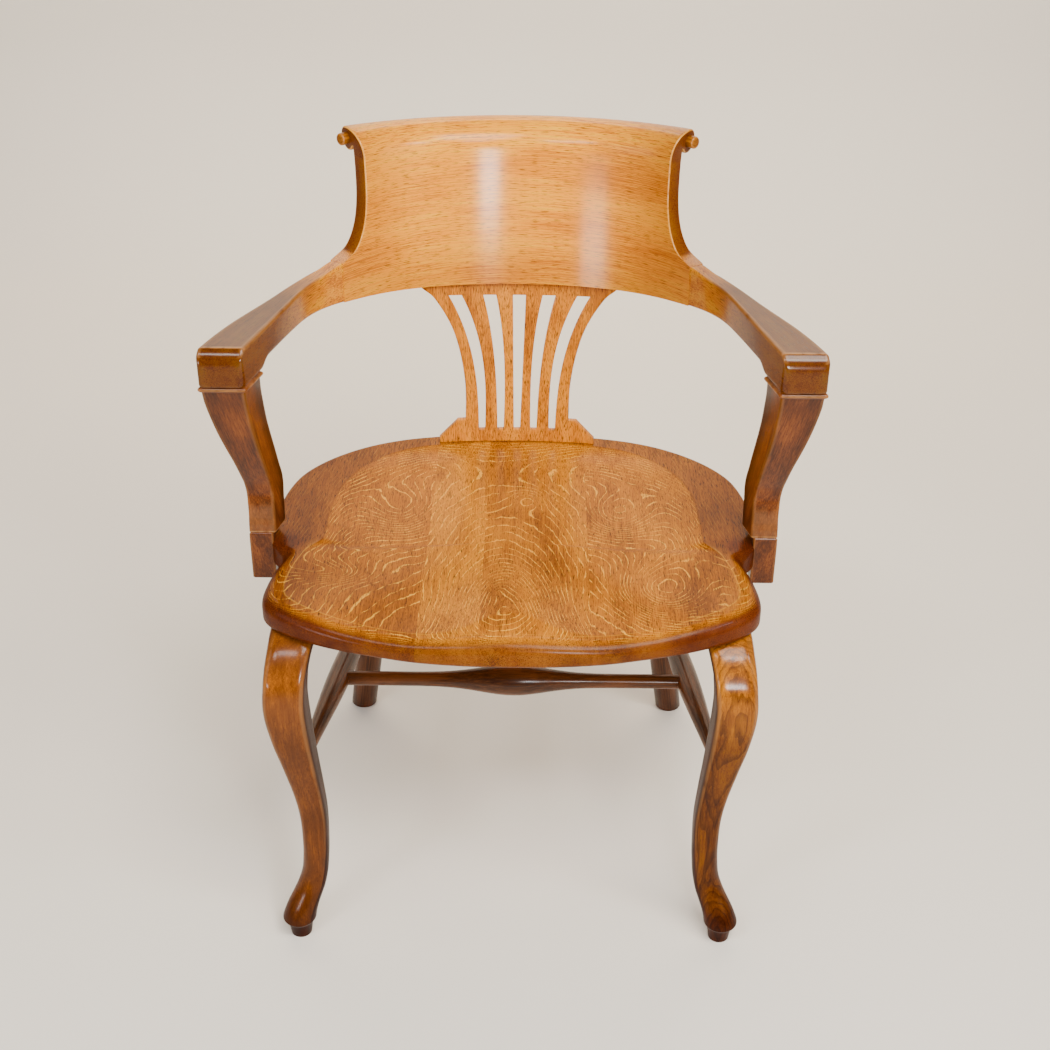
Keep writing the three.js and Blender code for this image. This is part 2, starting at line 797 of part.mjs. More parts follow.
// Tongue at the splat's foot or head; with room round it, it is the groove that takes it
function splatTongue(head, room) {
  const half = (head ? splat.topHalf : splat.baseHalf) - splat.tongueInset + room;
  const root = room > 0 ? fit.overrun : splat.tongueThickness / 2;
  const reach = splat.tongue + room;
  const edge = (x) => (head ? bowBottom(x) : seat.top);
  const lowAt = (x) => edge(x) - (head ? root : reach);
  const highAt = (x) => edge(x) + (head ? reach : root);
  return bentSlab(half, splat.tongueThickness + 2 * room, lowAt, highAt);
}

// Flat outline of [across, height] points carried through the whole depth of the back
function throughBack(outline) {
  const shape = new THREE.Shape(outline.map(([x, height]) => new THREE.Vector2(x, height)));
  const geometry = new THREE.ExtrudeGeometry(shape, { depth: fit.through, bevelEnabled: false });
  return geometry.rotateX(Math.PI / 2).translate(0, seat.backY + fit.through / 2, 0);
}

// Side of the splat from waist to head: share of the height, share of the way from waist to head
const flareShares = [
  [0, 0], [0.2, 0], [0.34, 0.04], [0.5, 0.13], [0.64, 0.255], [0.75, 0.41], [0.84, 0.573], [0.905, 0.714],
  [0.96, 0.9], [1, 1],
];

// What is sawn away beside the splat, leaving its foot, waist and flare
function splatWaste() {
  const { baseHalf, waistHalf, shoulderHalf, topHalf, baseRise, shoulderRise, topEdge } = splat;
  const head = bowBottom(topHalf) - topEdge;
  const waist = seat.top + shoulderRise;
  const flare = flareShares.map(([up, out]) => [
    THREE.MathUtils.lerp(waistHalf, topHalf, out),
    THREE.MathUtils.lerp(waist, head, up),
  ]);
  return throughBack([
    [topHalf + fit.overrun, seat.top - fit.overrun],
    [topHalf + fit.overrun, head],
    ...flare.reverse(),
    [shoulderHalf, waist],
    [(shoulderHalf + baseHalf) / 2, seat.top + (shoulderRise + baseRise) / 2],
    [baseHalf, seat.top + baseRise],
    [baseHalf, seat.top - fit.overrun],
  ]);
}

// Stations of a slot's sides from its foot to its head
const slotShares = [0, 0.25, 0.45, 0.6, 0.72, 0.82, 0.91, 1];

// Slot, counted from the middle one
function splatSlot(number) {
  const { slotTops, slotBottoms, slotCurve, slotTopWidth, slotBottomWidth, slotTopGap, slotArch } = splat;
  const place = Math.abs(number);
  const top = backLow - slotTopGap + slotArch * (number / 2) ** 2;
  const side = (sign) => slotShares.map((share) => {
    const out = THREE.MathUtils.lerp(slotBottoms[place], slotTops[place], share ** slotCurve);
    const centre = Math.sign(number) * out;
    const width = THREE.MathUtils.lerp(slotBottomWidth, slotTopWidth, share);
    const height = THREE.MathUtils.lerp(seat.top + splat.slotBottomRise, top, share);
    return [centre + sign * width / 2, height];
  });
  return throughBack([...side(1), ...side(-1).reverse()]);
}

function splatSolid() {
  const head = (x) => bowBottom(x + splat.lean) - fit.gap;
  const blank = bentSlab(splat.topHalf, splat.thickness, () => seat.top, head);
  const board = cut(blank, ...twice([splatWaste()]), ...[-2, -1, 0, 1, 2].map(splatSlot));
  return leant(joined(board, splatTongue(false, 0), splatTongue(true, 0)));
}

// Arm support from the collar down: height, outer edge, width, front, depth, and how far its back is set in
function supportStations() {
  const s = support;
  const { point } = bowFrame(bow.endAt);
  const topOuter = arm.frontWidth / Math.sin(bow.wrapAngle) - point.x - s.outerInset;
  const topFront = point.y + s.frontInset;
  const height = (share) => THREE.MathUtils.lerp(lip, collarLow, share);
  const out = (share) => THREE.MathUtils.lerp(blockOuter, topOuter, share);
  const wide = (share) => THREE.MathUtils.lerp(s.waistWidth, s.topWidth, share);
  const front = (share) => THREE.MathUtils.lerp(seat.cuspY + s.waistSet, topFront, share);
  const deep = (share) => THREE.MathUtils.lerp(s.waistDepth, s.topDepth, share);
  return supportShares.map(([up, outer, width, forward, depth]) => (
    [height(up), out(outer), wide(width), front(forward), deep(depth)]
  ));
}

// Shares of the way from the lip to the collar, then of each size's way from waist to top
const supportShares = [
  [1, 1, 1, 1, 1], [0.93, 0.99, 0.95, 0.9, 0.9], [0.84, 0.9, 0.83, 0.78, 0.8], [0.72, 0.73, 0.63, 0.62, 0.65],
  [0.6, 0.51, 0.42, 0.46, 0.5], [0.48, 0.27, 0.2, 0.3, 0.35], [0.36, 0.1, 0.05, 0.15, 0.2],
  [0.25, 0, 0, 0.03, 0.1], [0.15, -0.04, -0.04, -0.05, 0], [0.07, -0.02, -0.02, -0.05, 0], [0, 0, 0, 0, 0],
];

function supportRing([height, outer, width, front, depth]) {
  const e = support.arris;
  const inner = outer - width;
  const back = front + depth;
  const slant = height > seat.top ? Math.tan(Math.PI / 2 - bow.wrapAngle) : 0;
  const corners = [
    [outer, front + e], [outer, back - e], [outer - e, back], [inner + e, back],
    [inner, back - e], [inner, front + e], [inner + e, front], [outer - e, front],
  ];
  return corners.map(([x, y]) => new THREE.Vector3(-x + slant * (y - front), y, height));
}

function supportSolid() {
  const block = [blockOuter, support.blockWidth, seat.cuspY, support.blockDepth];
  const heights = [lip - support.lipStep, seat.top + fit.gap, seat.top, underside - support.blockDrop];
  return loft([...supportStations(), ...heights.map((height) => [height, ...block])].map(supportRing));
}

// Heights of the rings of the collar's nose
const noseShares = [0, 0.15, 0.5, 0.85, 1];

// Collar: the support's top outline with a half-round nose all round it
function collarSolid() {
  const top = supportRing(supportStations()[0]);
  const middle = centroid(top);
  const rings = noseShares.map((share) => {
    const out = collar.proud * Math.sin(Math.PI * share);
    return top.map((p) => {
      const away = new THREE.Vector3().subVectors(p, middle).setZ(0);
      const size = away.length();
      const edge = middle.clone().addScaledVector(away, (size + out + fit.gap) / size);
      return edge.setZ(collarLow + share * collar.height);
    });
  });
  return loft(rings);
}

// Dowels across the joint of arm and panel, one above the other
function armDowelEnds(number) {
  const middle = (armBottom(bow.jointAt) + armTop(bow.jointAt)) / 2;
  const height = middle + (number - 0.5) * dowel.armSpacing;
  const centre = bowPlace(bow.jointAt, panel.thickness / 2, height);
  const { tangent } = bowFrame(bow.jointAt);
  return [moved(centre, tangent, -dowel.armLength / 2), moved(centre, tangent, dowel.armLength / 2)];
}

// Dowels down through the collar from arm to support
function postDowelEnds(number) {
  const top = supportRing(supportStations()[0]);
  const middle = centroid(top);
  const x = middle.x + (number - 0.5) * dowel.postSpacing;
  const centre = armEndLow - collar.height / 2;
  return [
    new THREE.Vector3(x, middle.y, centre - dowel.postLength / 2),
    new THREE.Vector3(x, middle.y, centre + dowel.postLength / 2),
  ];
}

// Wood screws through the foot block into the edge of the seat
function screwLine(number) {
  const height = underside + seat.thickness / 2;
  const y = seat.cuspY + support.blockDepth / 2 + (number - 0.5) * screw.spacing;
  const face = new THREE.Vector3(-blockOuter, y, height);
  return { face, inward: new THREE.Vector3(1, 0, 0) };
}

function screwSolid(number) {
  const { face, inward } = screwLine(number);
  const start = moved(face, inward, screw.sink);
  const { headRadius, shankRadius, headHeight, length, tip, tipRadius } = screw;
  return turned([
    [0, headRadius],
    [headHeight, shankRadius],
    [length - tip, shankRadius],
    [length, tipRadius],
  ], start, moved(start, inward, length), 10);
}

function plugSolid(number) {
  const { face, inward } = screwLine(number);
  return bar(face, moved(face, inward, screw.sink - fit.gap), screw.plugRadius, 12);
}

function screwHole(number) {
  const { face, inward } = screwLine(number);
  const { headRadius, shankRadius, headHeight, length, sink, plugRadius } = screw;
  const gap = fit.gap;
  return turned([
    [0, plugRadius + gap],
    [fit.overrun + sink, plugRadius + gap],
    [fit.overrun + sink + gap, headRadius + gap],
    [fit.overrun + sink + headHeight + gap, shankRadius + gap],
    [fit.overrun + sink + length + gap, shankRadius + gap],
  ], moved(face, inward, -fit.overrun), face, 12);
}

// A hole that takes a peg with the joint's clearance round it and past its end
function socket(mouth, end, radius) {
  const way = new THREE.Vector3().subVectors(end, mouth).normalize();
  return bar(mouth, moved(end, way, fit.gap), radius + fit.gap);
}

// A hole for a dowel, with the joint's clearance all round it
function dowelHole([from, to], radius) {
  const way = new THREE.Vector3().subVectors(to, from).normalize();
  return bar(moved(from, way, -fit.gap), moved(to, way, fit.gap), radius + fit.gap, 10);
}

// The hole for the peg of a scroll's boss
function pegSocket() {
  const { place, out } = scrollEye();
  const end = moved(place, out, -boss.pegLength - fit.gap);
  return bar(end, moved(place, out, fit.overrun), boss.pegRadius + fit.gap);
}

const chair = new THREE.Group();

function place(name, geometry, look) {
  const material = new THREE.MeshStandardMaterial({ metalness: 0, ...look });
  const mesh = new THREE.Mesh(geometry, material);
  mesh.name = name;
  chair.add(mesh);
}

// Both of a pair, the first made on the left
function placePair(name, geometry, look) {
  place(`${name}_left`, geometry, look);
  place(`${name}_right`, mirrored(geometry), look);
}

// Holes for the tenons of the legs in the seat
function frontLegMortise() {
  const top = frontLegCentre(underside);
  const mouth = top.clone().setZ(underside - fit.overrun);
  return socket(mouth, top.setZ(underside + frontLeg.tenonLength), frontLeg.tenonRadius);
}

function rearLegMortise() {
  const length = rearLegFoot.distanceTo(rearLegTop);
  const mouth = moved(rearLegFoot, rearLegAxis, length * rearNeckShare);
  const reach = length * (1 - rearNeckShare) + rearLeg.tenonLength + fit.gap;
  return turned([
    [0, rearLegRadius(rearNeckShare) + fit.gap],
    [reach, rearLeg.tenonRadius + fit.gap],
  ], mouth, rearLegTop, 20);
}

// Recess in the edge of the seat for the foot block of an arm support
function blockRecess() {
  const back = seat.cuspY + support.blockDepth;
  return boxBetween(
    new THREE.Vector3(-seat.bulgeX - 2 * fit.overrun, seat.cuspY - fit.gap, underside - fit.overrun),
    new THREE.Vector3(fit.gap - blockInner, back + fit.gap, seat.top + fit.overrun),
  );
}

// Fixings on the left and the holes they need
const armDowels = [0, 1].map(armDowelEnds);
const postDowels = [0, 1].map(postDowelEnds);
const armDowelHoles = armDowels.map((ends) => dowelHole(ends, dowel.armRadius));
const postDowelHoles = postDowels.map((ends) => dowelHole(ends, dowel.postRadius));
const screwHoles = [0, 1].map(screwHole);

// Seat, parted at its glue lines
const seatSolid = cut(
  seatBlank(),
  ...twice([frontLegMortise(), rearLegMortise(), blockRecess(), ...screwHoles]),
  leant(splatTongue(false, fit.gap)),
);
const seatSide = seat.bulgeX + 2 * fit.overrun;
const boardEdges = [-seatSide, ...seat.glueLines, seatSide];
boardEdges.slice(1).forEach((right, i) => {
  const slab = boxBetween(
    new THREE.Vector3(boardEdges[i], seat.frontY - fit.overrun, underside - fit.overrun),
    new THREE.Vector3(right, seat.backY + fit.overrun, seat.top + fit.overrun),
  );
  place(`seat_board_${i + 1}`, common(seatSolid, slab), oak.seat);
});

// Legs and stretchers
const widestLeg = frontLeg.widths.knee;
const sideMouth = { front: moved(sideFront, sideAxis, widestLeg), rear: moved(sideRear, sideAxis, -widestLeg) };
const frontSocket = socket(sideMouth.front, sideStart, stretcher.sideEndRadius);
const rearSocket = socket(sideMouth.rear, sideEnd, stretcher.sideEndRadius);
const crossMouth = crossEnd.clone().setX(crossEnd.x + 2 * stretcher.sideMiddleRadius);
const crossSocket = socket(crossMouth, crossStart, stretcher.crossEndRadius);
placePair('front_leg', cut(frontLegSolid(), frontSocket), oak.leg);
placePair('rear_leg', cut(rearLegSolid(), rearSocket), oak.dark);
placePair('side_stretcher', cut(sideStretcherSolid(), crossSocket), oak.dark);
place('cross_stretcher', crossStretcherSolid(), oak.dark);

// Back and arms
const backCutters = [...twice([...armDowelHoles, pegSocket()]), leant(splatTongue(true, fit.gap))];
place('back_panel', cut(panelSolid(), ...backCutters), oak.golden);
placePair('scroll_boss', bossSolid(), oak.dark);
place('back_splat', splatSolid(), oak.golden);
placePair('arm', cut(armSolid(), ...armDowelHoles, ...postDowelHoles), oak.arm);
placePair('arm_collar', cut(collarSolid(), ...postDowelHoles), oak.arm);
placePair('arm_support', cut(supportSolid(), ...postDowelHoles, ...screwHoles), oak.arm);

// Dowels, screws and the plugs that hide them
armDowels.forEach(([from, to], i) => {
  placePair(`arm_dowel_${i + 1}`, bar(from, to, dowel.armRadius, 10), pale);
});
postDowels.forEach(([from, to], i) => {
  placePair(`support_dowel_${i + 1}`, bar(from, to, dowel.postRadius, 10), pale);
});
[0, 1].forEach((i) => {
  placePair(`support_screw_${i + 1}`, screwSolid(i), steel);
  placePair(`screw_plug_${i + 1}`, plugSolid(i), oak.arm);
});

// The origin is on the floor, midway between the chair's front and back
const extent = new THREE.Box3().setFromObject(chair);
chair.children.forEach((mesh) => mesh.geometry.translate(0, -(extent.min.y + extent.max.y) / 2, 0));

export default chair;
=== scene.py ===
"""A captain's chair in polished oak: smooth wooden pieces and their finishes round the CAD frame.

Lengths are millimetres in the chair's measuring frame (X right, Y back, Z up, floor at zero) until
a mesh is made; then they become metres in the CAD frame.
"""

import logging
import math
from dataclasses import dataclass, field, replace
from enum import Enum
from typing import Any, Callable, Iterable, Sequence

import bmesh
import bpy
import numpy as np
from mathutils import Matrix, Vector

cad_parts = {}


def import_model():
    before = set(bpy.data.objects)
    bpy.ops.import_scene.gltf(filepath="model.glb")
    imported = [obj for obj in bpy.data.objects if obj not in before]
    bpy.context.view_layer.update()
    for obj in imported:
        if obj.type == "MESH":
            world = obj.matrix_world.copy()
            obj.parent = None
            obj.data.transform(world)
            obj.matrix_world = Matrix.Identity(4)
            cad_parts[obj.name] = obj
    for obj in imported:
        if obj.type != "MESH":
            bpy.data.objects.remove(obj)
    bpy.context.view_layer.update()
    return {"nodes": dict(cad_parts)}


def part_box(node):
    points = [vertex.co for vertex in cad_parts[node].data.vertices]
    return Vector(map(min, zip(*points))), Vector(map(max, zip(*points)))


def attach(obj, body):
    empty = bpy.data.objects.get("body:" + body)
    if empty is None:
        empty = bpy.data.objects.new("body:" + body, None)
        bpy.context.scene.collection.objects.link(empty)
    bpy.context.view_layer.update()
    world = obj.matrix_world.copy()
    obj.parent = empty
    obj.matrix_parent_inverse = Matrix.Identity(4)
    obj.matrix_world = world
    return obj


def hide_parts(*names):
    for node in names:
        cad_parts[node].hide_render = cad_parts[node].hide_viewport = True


log = logging.getLogger("chair")

Array = np.ndarray
Pair = tuple[float, float]
Three = tuple[float, float, float]
Four = tuple[float, float, float, float]
Row = tuple[float, ...]

MM = 0.001
BODY = "root"
ACROSS, BACK, UP = (1.0, 0.0, 0.0), (0.0, 1.0, 0.0), (0.0, 0.0, 1.0)
# An axis whose share of height is above this counts as upright
UPRIGHT = 0.9
# Heights and shares closer than this are the same
TINY = 1e-6


# ---------------------------------------------------------------- curves and meshes


def ease(value: Array, start: float, end: float) -> Array:
    """Smooth step, 3t^2 - 2t^3, from 0 at start to 1 at end."""
    t = np.clip((np.asarray(value, float) - start) / (end - start), 0.0, 1.0)
    return t * t * (3.0 - 2.0 * t)


def lerp(a: Any, b: Any, t: Any) -> Any:
    """Straight blend from a to b."""
    return a + (b - a) * t


def along(places: Sequence[float], values: Sequence[float], at: Array, tame: bool = False) -> Array:
    """Cubic Hermite curve through (place, value) pairs, with the slope of the neighbouring pairs.

    Args:
        places: rising places.
        values: the value at each place.
        at: where the curve is read; outside the places it keeps the end values.
        tame: keep the curve between its pairs, without overshoot.

    Returns:
        The values at those places.
    """
    x = np.asarray(places, float)
    y = np.asarray(values, float)
    steps = np.diff(y) / np.diff(x)
    slopes = np.empty_like(y)
    slopes[0], slopes[-1] = steps[0], steps[-1]
    slopes[1:-1] = (y[2:] - y[:-2]) / (x[2:] - x[:-2])
    if tame:
        flat = steps[:-1] * steps[1:] <= 0
        limit = 3.0 * np.minimum(np.abs(steps[:-1]), np.abs(steps[1:]))
        slopes[1:-1] = np.where(flat, 0.0, np.clip(slopes[1:-1], -limit, limit))
    at = np.clip(np.asarray(at, float), x[0], x[-1])
    i = np.clip(np.searchsorted(x, at, side="right") - 1, 0, len(x) - 2)
    span = x[i + 1] - x[i]
    t = (at - x[i]) / span
    t2, t3 = t * t, t * t * t
    start = (2 * t3 - 3 * t2 + 1) * y[i] + (t3 - 2 * t2 + t) * span * slopes[i]
    end = (3 * t2 - 2 * t3) * y[i + 1] + (t3 - t2) * span * slopes[i + 1]
    return start + end


def through(points: Sequence[Sequence[float]], steps: int) -> Array:
    """Centripetal Catmull-Rom curve through points: on each span a cubic whose end slopes weigh the
    neighbouring spans by the square roots of their lengths.

    Args:
        points: the points, in order.
        steps: how many pieces each span is parted into.

    Returns:
        Array of points on the curve, the first and last points included.
    """
    p = np.asarray(points, float)
    p = np.vstack([2 * p[0] - p[1], p, 2 * p[-1] - p[-2]])
    gap = np.sqrt(np.linalg.norm(np.diff(p, axis=0), axis=1))[:, None]
    a, b, c, d = p[:-3], p[1:-2], p[2:-1], p[3:]
    g0, g1, g2 = gap[:-2], gap[1:-1], gap[2:]
    start = ((b - a) / g0 - (c - a) / (g0 + g1) + (c - b) / g1) * g1
    end = ((c - b) / g1 - (d - b) / (g1 + g2) + (d - c) / g2) * g1
    t = (np.arange(steps) / steps)[None, :, None]
    b, c, start, end = (v[:, None, :] for v in (b, c, start, end))
    curve = (2 * t**3 - 3 * t**2 + 1) * b + (t**3 - 2 * t**2 + t) * start
    curve = curve + (3 * t**2 - 2 * t**3) * c + (t**3 - t**2) * end
    return np.vstack([curve.reshape(-1, p.shape[1]), p[-2]])


def grid_faces(rows: int, count: int, closed: bool = True) -> Array:
    """Quads between neighbouring rows of points.

    Args:
        rows: how many rows there are.
        count: points in each row.
        closed: join each row's last point to its first one.

    Returns:
        Array (quads, 4) of point numbers, row by row.
    """
    spans = count if closed else count - 1
    r, k = np.meshgrid(np.arange(rows - 1), np.arange(spans), indexing="ij")
    after = (k + 1) % count
    corners = [r * count + k, r * count + after, (r + 1) * count + after, (r + 1) * count + k]
    return np.stack(corners, axis=-1).reshape(-1, 4)


def signed_volume(points: Array, faces: Iterable[Sequence[int]]) -> float:
    """Six times the volume inside fans of triangles over the faces: the sum of a . (b x c).

    Args:
        points: array (points, 3).
        faces: point numbers of each face, in order round it.

    Returns:
        That volume, negative when the faces point inwards.
    """
    total = 0.0
    groups: dict[int, list[Sequence[int]]] = {}
    for face in faces:
        groups.setdefault(len(face), []).append(face)
    for size, members in groups.items():
        index = np.asarray(members)
        for k in range(1, size - 1):
            a, b, c = points[index[:, 0]], points[index[:, k]], points[index[:, k + 1]]
            total += float(np.einsum("ij,ij->", a, np.cross(b, c)))
    return total


@dataclass
class Placing:
    """Where the measuring frame lies in the CAD frame, which is centred between front and back."""

    shift_y: float

    def to_frame(self, points: Array) -> Array:
        """Points in metres in the CAD frame, from millimetres in the measuring frame."""
        return (np.asarray(points, float) + np.array([0.0, self.shift_y, 0.0])) * MM


@dataclass
class Shell:
    """A closed wooden surface before it becomes a Blender object."""

    points: Array
    faces: list[list[int]]
    grain: Array
    marks: dict[str, Array] = field(default_factory=dict)

    @classmethod
    def lofted(
        cls,
        rings: Array,
        grain: Array | None = None,
        marks: dict[str, Array] | None = None,
    ) -> "Shell":
        """Closed surface through rings of points, with a pole in the middle of each end.

        Args:
            rings: array (rings, points, 3).
            grain: array of the same shape, places in the wood's own frame; the rings where None.
            marks: arrays (rings, points) of values painted on the surface.

        Returns:
            The shell.
        """
        rows, count, _ = rings.shape
        quads = grid_faces(rows, count)
        k = np.arange(count)
        nxt = (k + 1) % count
        first, last = rows * count, rows * count + 1
        start = np.stack([np.full(count, first), nxt, k], axis=-1)
        base = (rows - 1) * count
        end = np.stack([np.full(count, last), base + k, base + nxt], axis=-1)

        def flat(values: Array) -> Array:
            """Put the values of all points in one row, then those of the two poles.

            Args:
                values: array (rings, points) or (rings, points, 3).

            Returns:
                Array (points + 2) or (points + 2, 3).
            """
            width = values.shape[2:] or (1,)
            body = values.reshape(rows * count, *width)
            poles = np.stack([values[0].mean(axis=0), values[-1].mean(axis=0)]).reshape(2, *width)
            return np.vstack([body, poles]).squeeze()

        return cls(
            flat(rings),
            [*quads.tolist(), *start.tolist(), *end.tolist()],
            flat(rings if grain is None else grain),
            {name: flat(values) for name, values in (marks or {}).items()},
        )

    def mirrored(self) -> "Shell":
        """The same piece on the other side of the chair."""
        flipped = self.points * np.array([-1.0, 1.0, 1.0])
        return Shell(flipped, [face[::-1] for face in self.faces], self.grain, dict(self.marks))

    def object(self, name: str, placing: Placing) -> bpy.types.Object:
        """Make the shell a Blender object with its faces turned outwards.

        Args:
            name: the object's name.
            placing: where the measuring frame lies.

        Returns:
            The linked object, at the origin.
        """
        outwards = signed_volume(self.points, self.faces) > 0
        faces = self.faces if outwards else [face[::-1] for face in self.faces]
        mesh = bpy.data.meshes.new(name)
        mesh.from_pydata(placing.to_frame(self.points).tolist(), [], faces)
        add_layer(mesh, "grain", self.grain * MM)
        for mark, values in self.marks.items():
            add_layer(mesh, mark, values)
        mesh.validate()
        mesh.update()
        return link_object(name, mesh)


def add_layer(mesh: bpy.types.Mesh, name: str, values: Array) -> None:
    """Write a named attribute to the points of a mesh.

    Args:
        mesh: the mesh.
        name: the attribute's name.
        values: one number or one vector per point.
    """
    kind, slot = ("FLOAT_VECTOR", "vector") if values.ndim == 2 else ("FLOAT", "value")
    layer = mesh.attributes.new(name, kind, "POINT")
    layer.data.foreach_set(slot, np.ascontiguousarray(values, dtype=np.float32).ravel())


def link_object(name: str, mesh: bpy.types.Mesh, sharp_degrees: float = 38.0) -> bpy.types.Object:
    """Link a mesh to the scene, shaded smooth except over sharp edges.

    Args:
        name: the object's name.
        mesh: its mesh.
        sharp_degrees: edges that turn by more than this stay sharp.

    Returns:
        The new object, at the origin.
    """
    mesh.shade_smooth()
    mesh.set_sharp_from_angle(angle=math.radians(sharp_degrees))
    obj = bpy.data.objects.new(name, mesh)
    bpy.context.scene.collection.objects.link(obj)
    return obj


@dataclass(frozen=True)
class RoundedSection:
    """Points round a rectangle with rounded corners, as shares that scale to any size."""

    per_corner: int = 7
    per_side: int = 5
    near_corner: float = 0.06

    def shares(self) -> tuple[Array, ...]:
        """Walk round the section, an arc at each corner and then the side after it.

        Returns:
            Shares (across, up) of the corner's centre and (cos, sin) of the corner's arc.
        """
        rows: list[Four] = []
        corners = [(1, 1), (-1, 1), (-1, -1), (1, -1)]
        middles = np.linspace(0, 1, self.per_side + 2)[1:-1]
        for i, (sx, sy) in enumerate(corners):
            for a in np.linspace(i * math.pi / 2, (i + 1) * math.pi / 2, self.per_corner):
                rows.append((sx, sy, math.cos(a), math.sin(a)))
            nx, ny = corners[(i + 1) % 4]
            end = (i + 1) * math.pi / 2
            for t in (self.near_corner, *middles, 1 - self.near_corner):
                rows.append((lerp(sx, nx, t), lerp(sy, ny, t), math.cos(end), math.sin(end)))
        return tuple(np.array(column) for column in zip(*rows))

    def corner_mark(self) -> Array:
        """1 on the rounded corners, 0 on the flat sides."""
        across, up, _, _ = self.shares()
        return np.isclose(np.abs(across * up), 1.0).astype(float)

    def place(self, width: Array, height: Array, radius: Array | float) -> tuple[Array, Array]:
        """Offsets from the section's middle: share x (half side - radius) + radius x (cos, sin).

        Args:
            width: width at each station.
            height: height at each station.
            radius: the corners' radius, at each station or for all.

        Returns:
            Offsets across and up, each (stations, points).
        """
        across, up, cos, sin = self.shares()
        w, h, r = (np.atleast_1d(np.asarray(v, float))[:, None] for v in (width, height, radius))
        return across * (w / 2 - r) + r * cos, up * (h / 2 - r) + r * sin


def square_axes(axis: Array, spare: Sequence[float]) -> tuple[Array, ...]:
    """Two directions square to an axis: up x axis, and axis x that.

    Args:
        axis: the axis, of any length.
        spare: taken instead of up where the axis is upright.

    Returns:
        The axis and the two directions, each of length 1.
    """
    axis = axis / np.linalg.norm(axis)
    side = np.cross(UP if abs(axis[2]) < UPRIGHT else spare, axis)
    side /= np.linalg.norm(side)
    return axis, side, np.cross(axis, side)


def turned(start: Array, end: Array, places: Array, radii: Array, count: int = 48) -> Array:
    """Rings of a turned piece: place + radius x (cos x side + sin x other side).

    Args:
        start: where the axis starts.
        end: a point further along the axis.
        places: distances of the rings from the start.
        radii: their radii.
        count: points in each ring.

    Returns:
        Array (rings, points, 3).
    """
    axis, side, other = square_axes(end - start, BACK)
    angle = np.linspace(0, 2 * math.pi, count, endpoint=False)[None, :, None]
    centre = start + np.asarray(places, float)[:, None] * axis
    circle = np.cos(angle) * side + np.sin(angle) * other
    return centre[:, None, :] + np.asarray(radii, float)[:, None, None] * circle


def grain_along(rings: Array, axis: Array) -> Array:
    """Places in the wood's own frame: first along the axis, then across it both ways."""
    return rings @ np.stack(square_axes(axis, ACROSS), axis=1)


# ---------------------------------------------------------------- finishes


def srgb(code: str) -> Four:
    """Turn an sRGB hex code to linear: v / 12.92 near black, ((v + 0.055) / 1.055)^2.4 above.

    Args:
        code: the code, "#rrggbb".

    Returns:
        Linear red, green and blue, and alpha 1.
    """
    values = [int(code[i : i + 2], 16) / 255 for i in (1, 3, 5)]
    linear = [v / 12.92 if v <= 0.04045 else ((v + 0.055) / 1.055) ** 2.4 for v in values]
    return (*linear, 1.0)


@dataclass(frozen=True)
class Graph:
    """A material and its nodes."""

    material: bpy.types.Material

    @classmethod
    def blank(cls, name: str) -> "Graph":
        """Make a material without nodes.

        Args:
            name: the material's name.

        Returns:
            Its graph.
        """
        material = bpy.data.materials.new(name)
        material.use_nodes = True
        material.node_tree.nodes.clear()
        return cls(material)

    def add(
        self, kind: str, inputs: dict[Any, Any] | None = None, out: str | int = 0, **settings: Any
    ) -> Any:
        """Add a node with its settings and links.

        Args:
            kind: the node's type, without "ShaderNode".
            inputs: value or output socket for each input, by name or number.
            out: which of the node's outputs is wanted.
            settings: properties of the node.

        Returns:
            That output, or None where the node has none.
        """
        tree = self.material.node_tree
        node = tree.nodes.new("ShaderNode" + kind)
        for name, value in settings.items():
            setattr(node, name, value)
        for key, value in (inputs or {}).items():
            if isinstance(value, bpy.types.NodeSocket):
                tree.links.new(value, node.inputs[key])
            else:
                node.inputs[key].default_value = value
        return node.outputs[out] if node.outputs else None


class Places(Enum):
    """Where a finish reads its place from: the attribute that follows the grain, or the object."""

    GRAIN = "grain"
    OBJECT = "object"


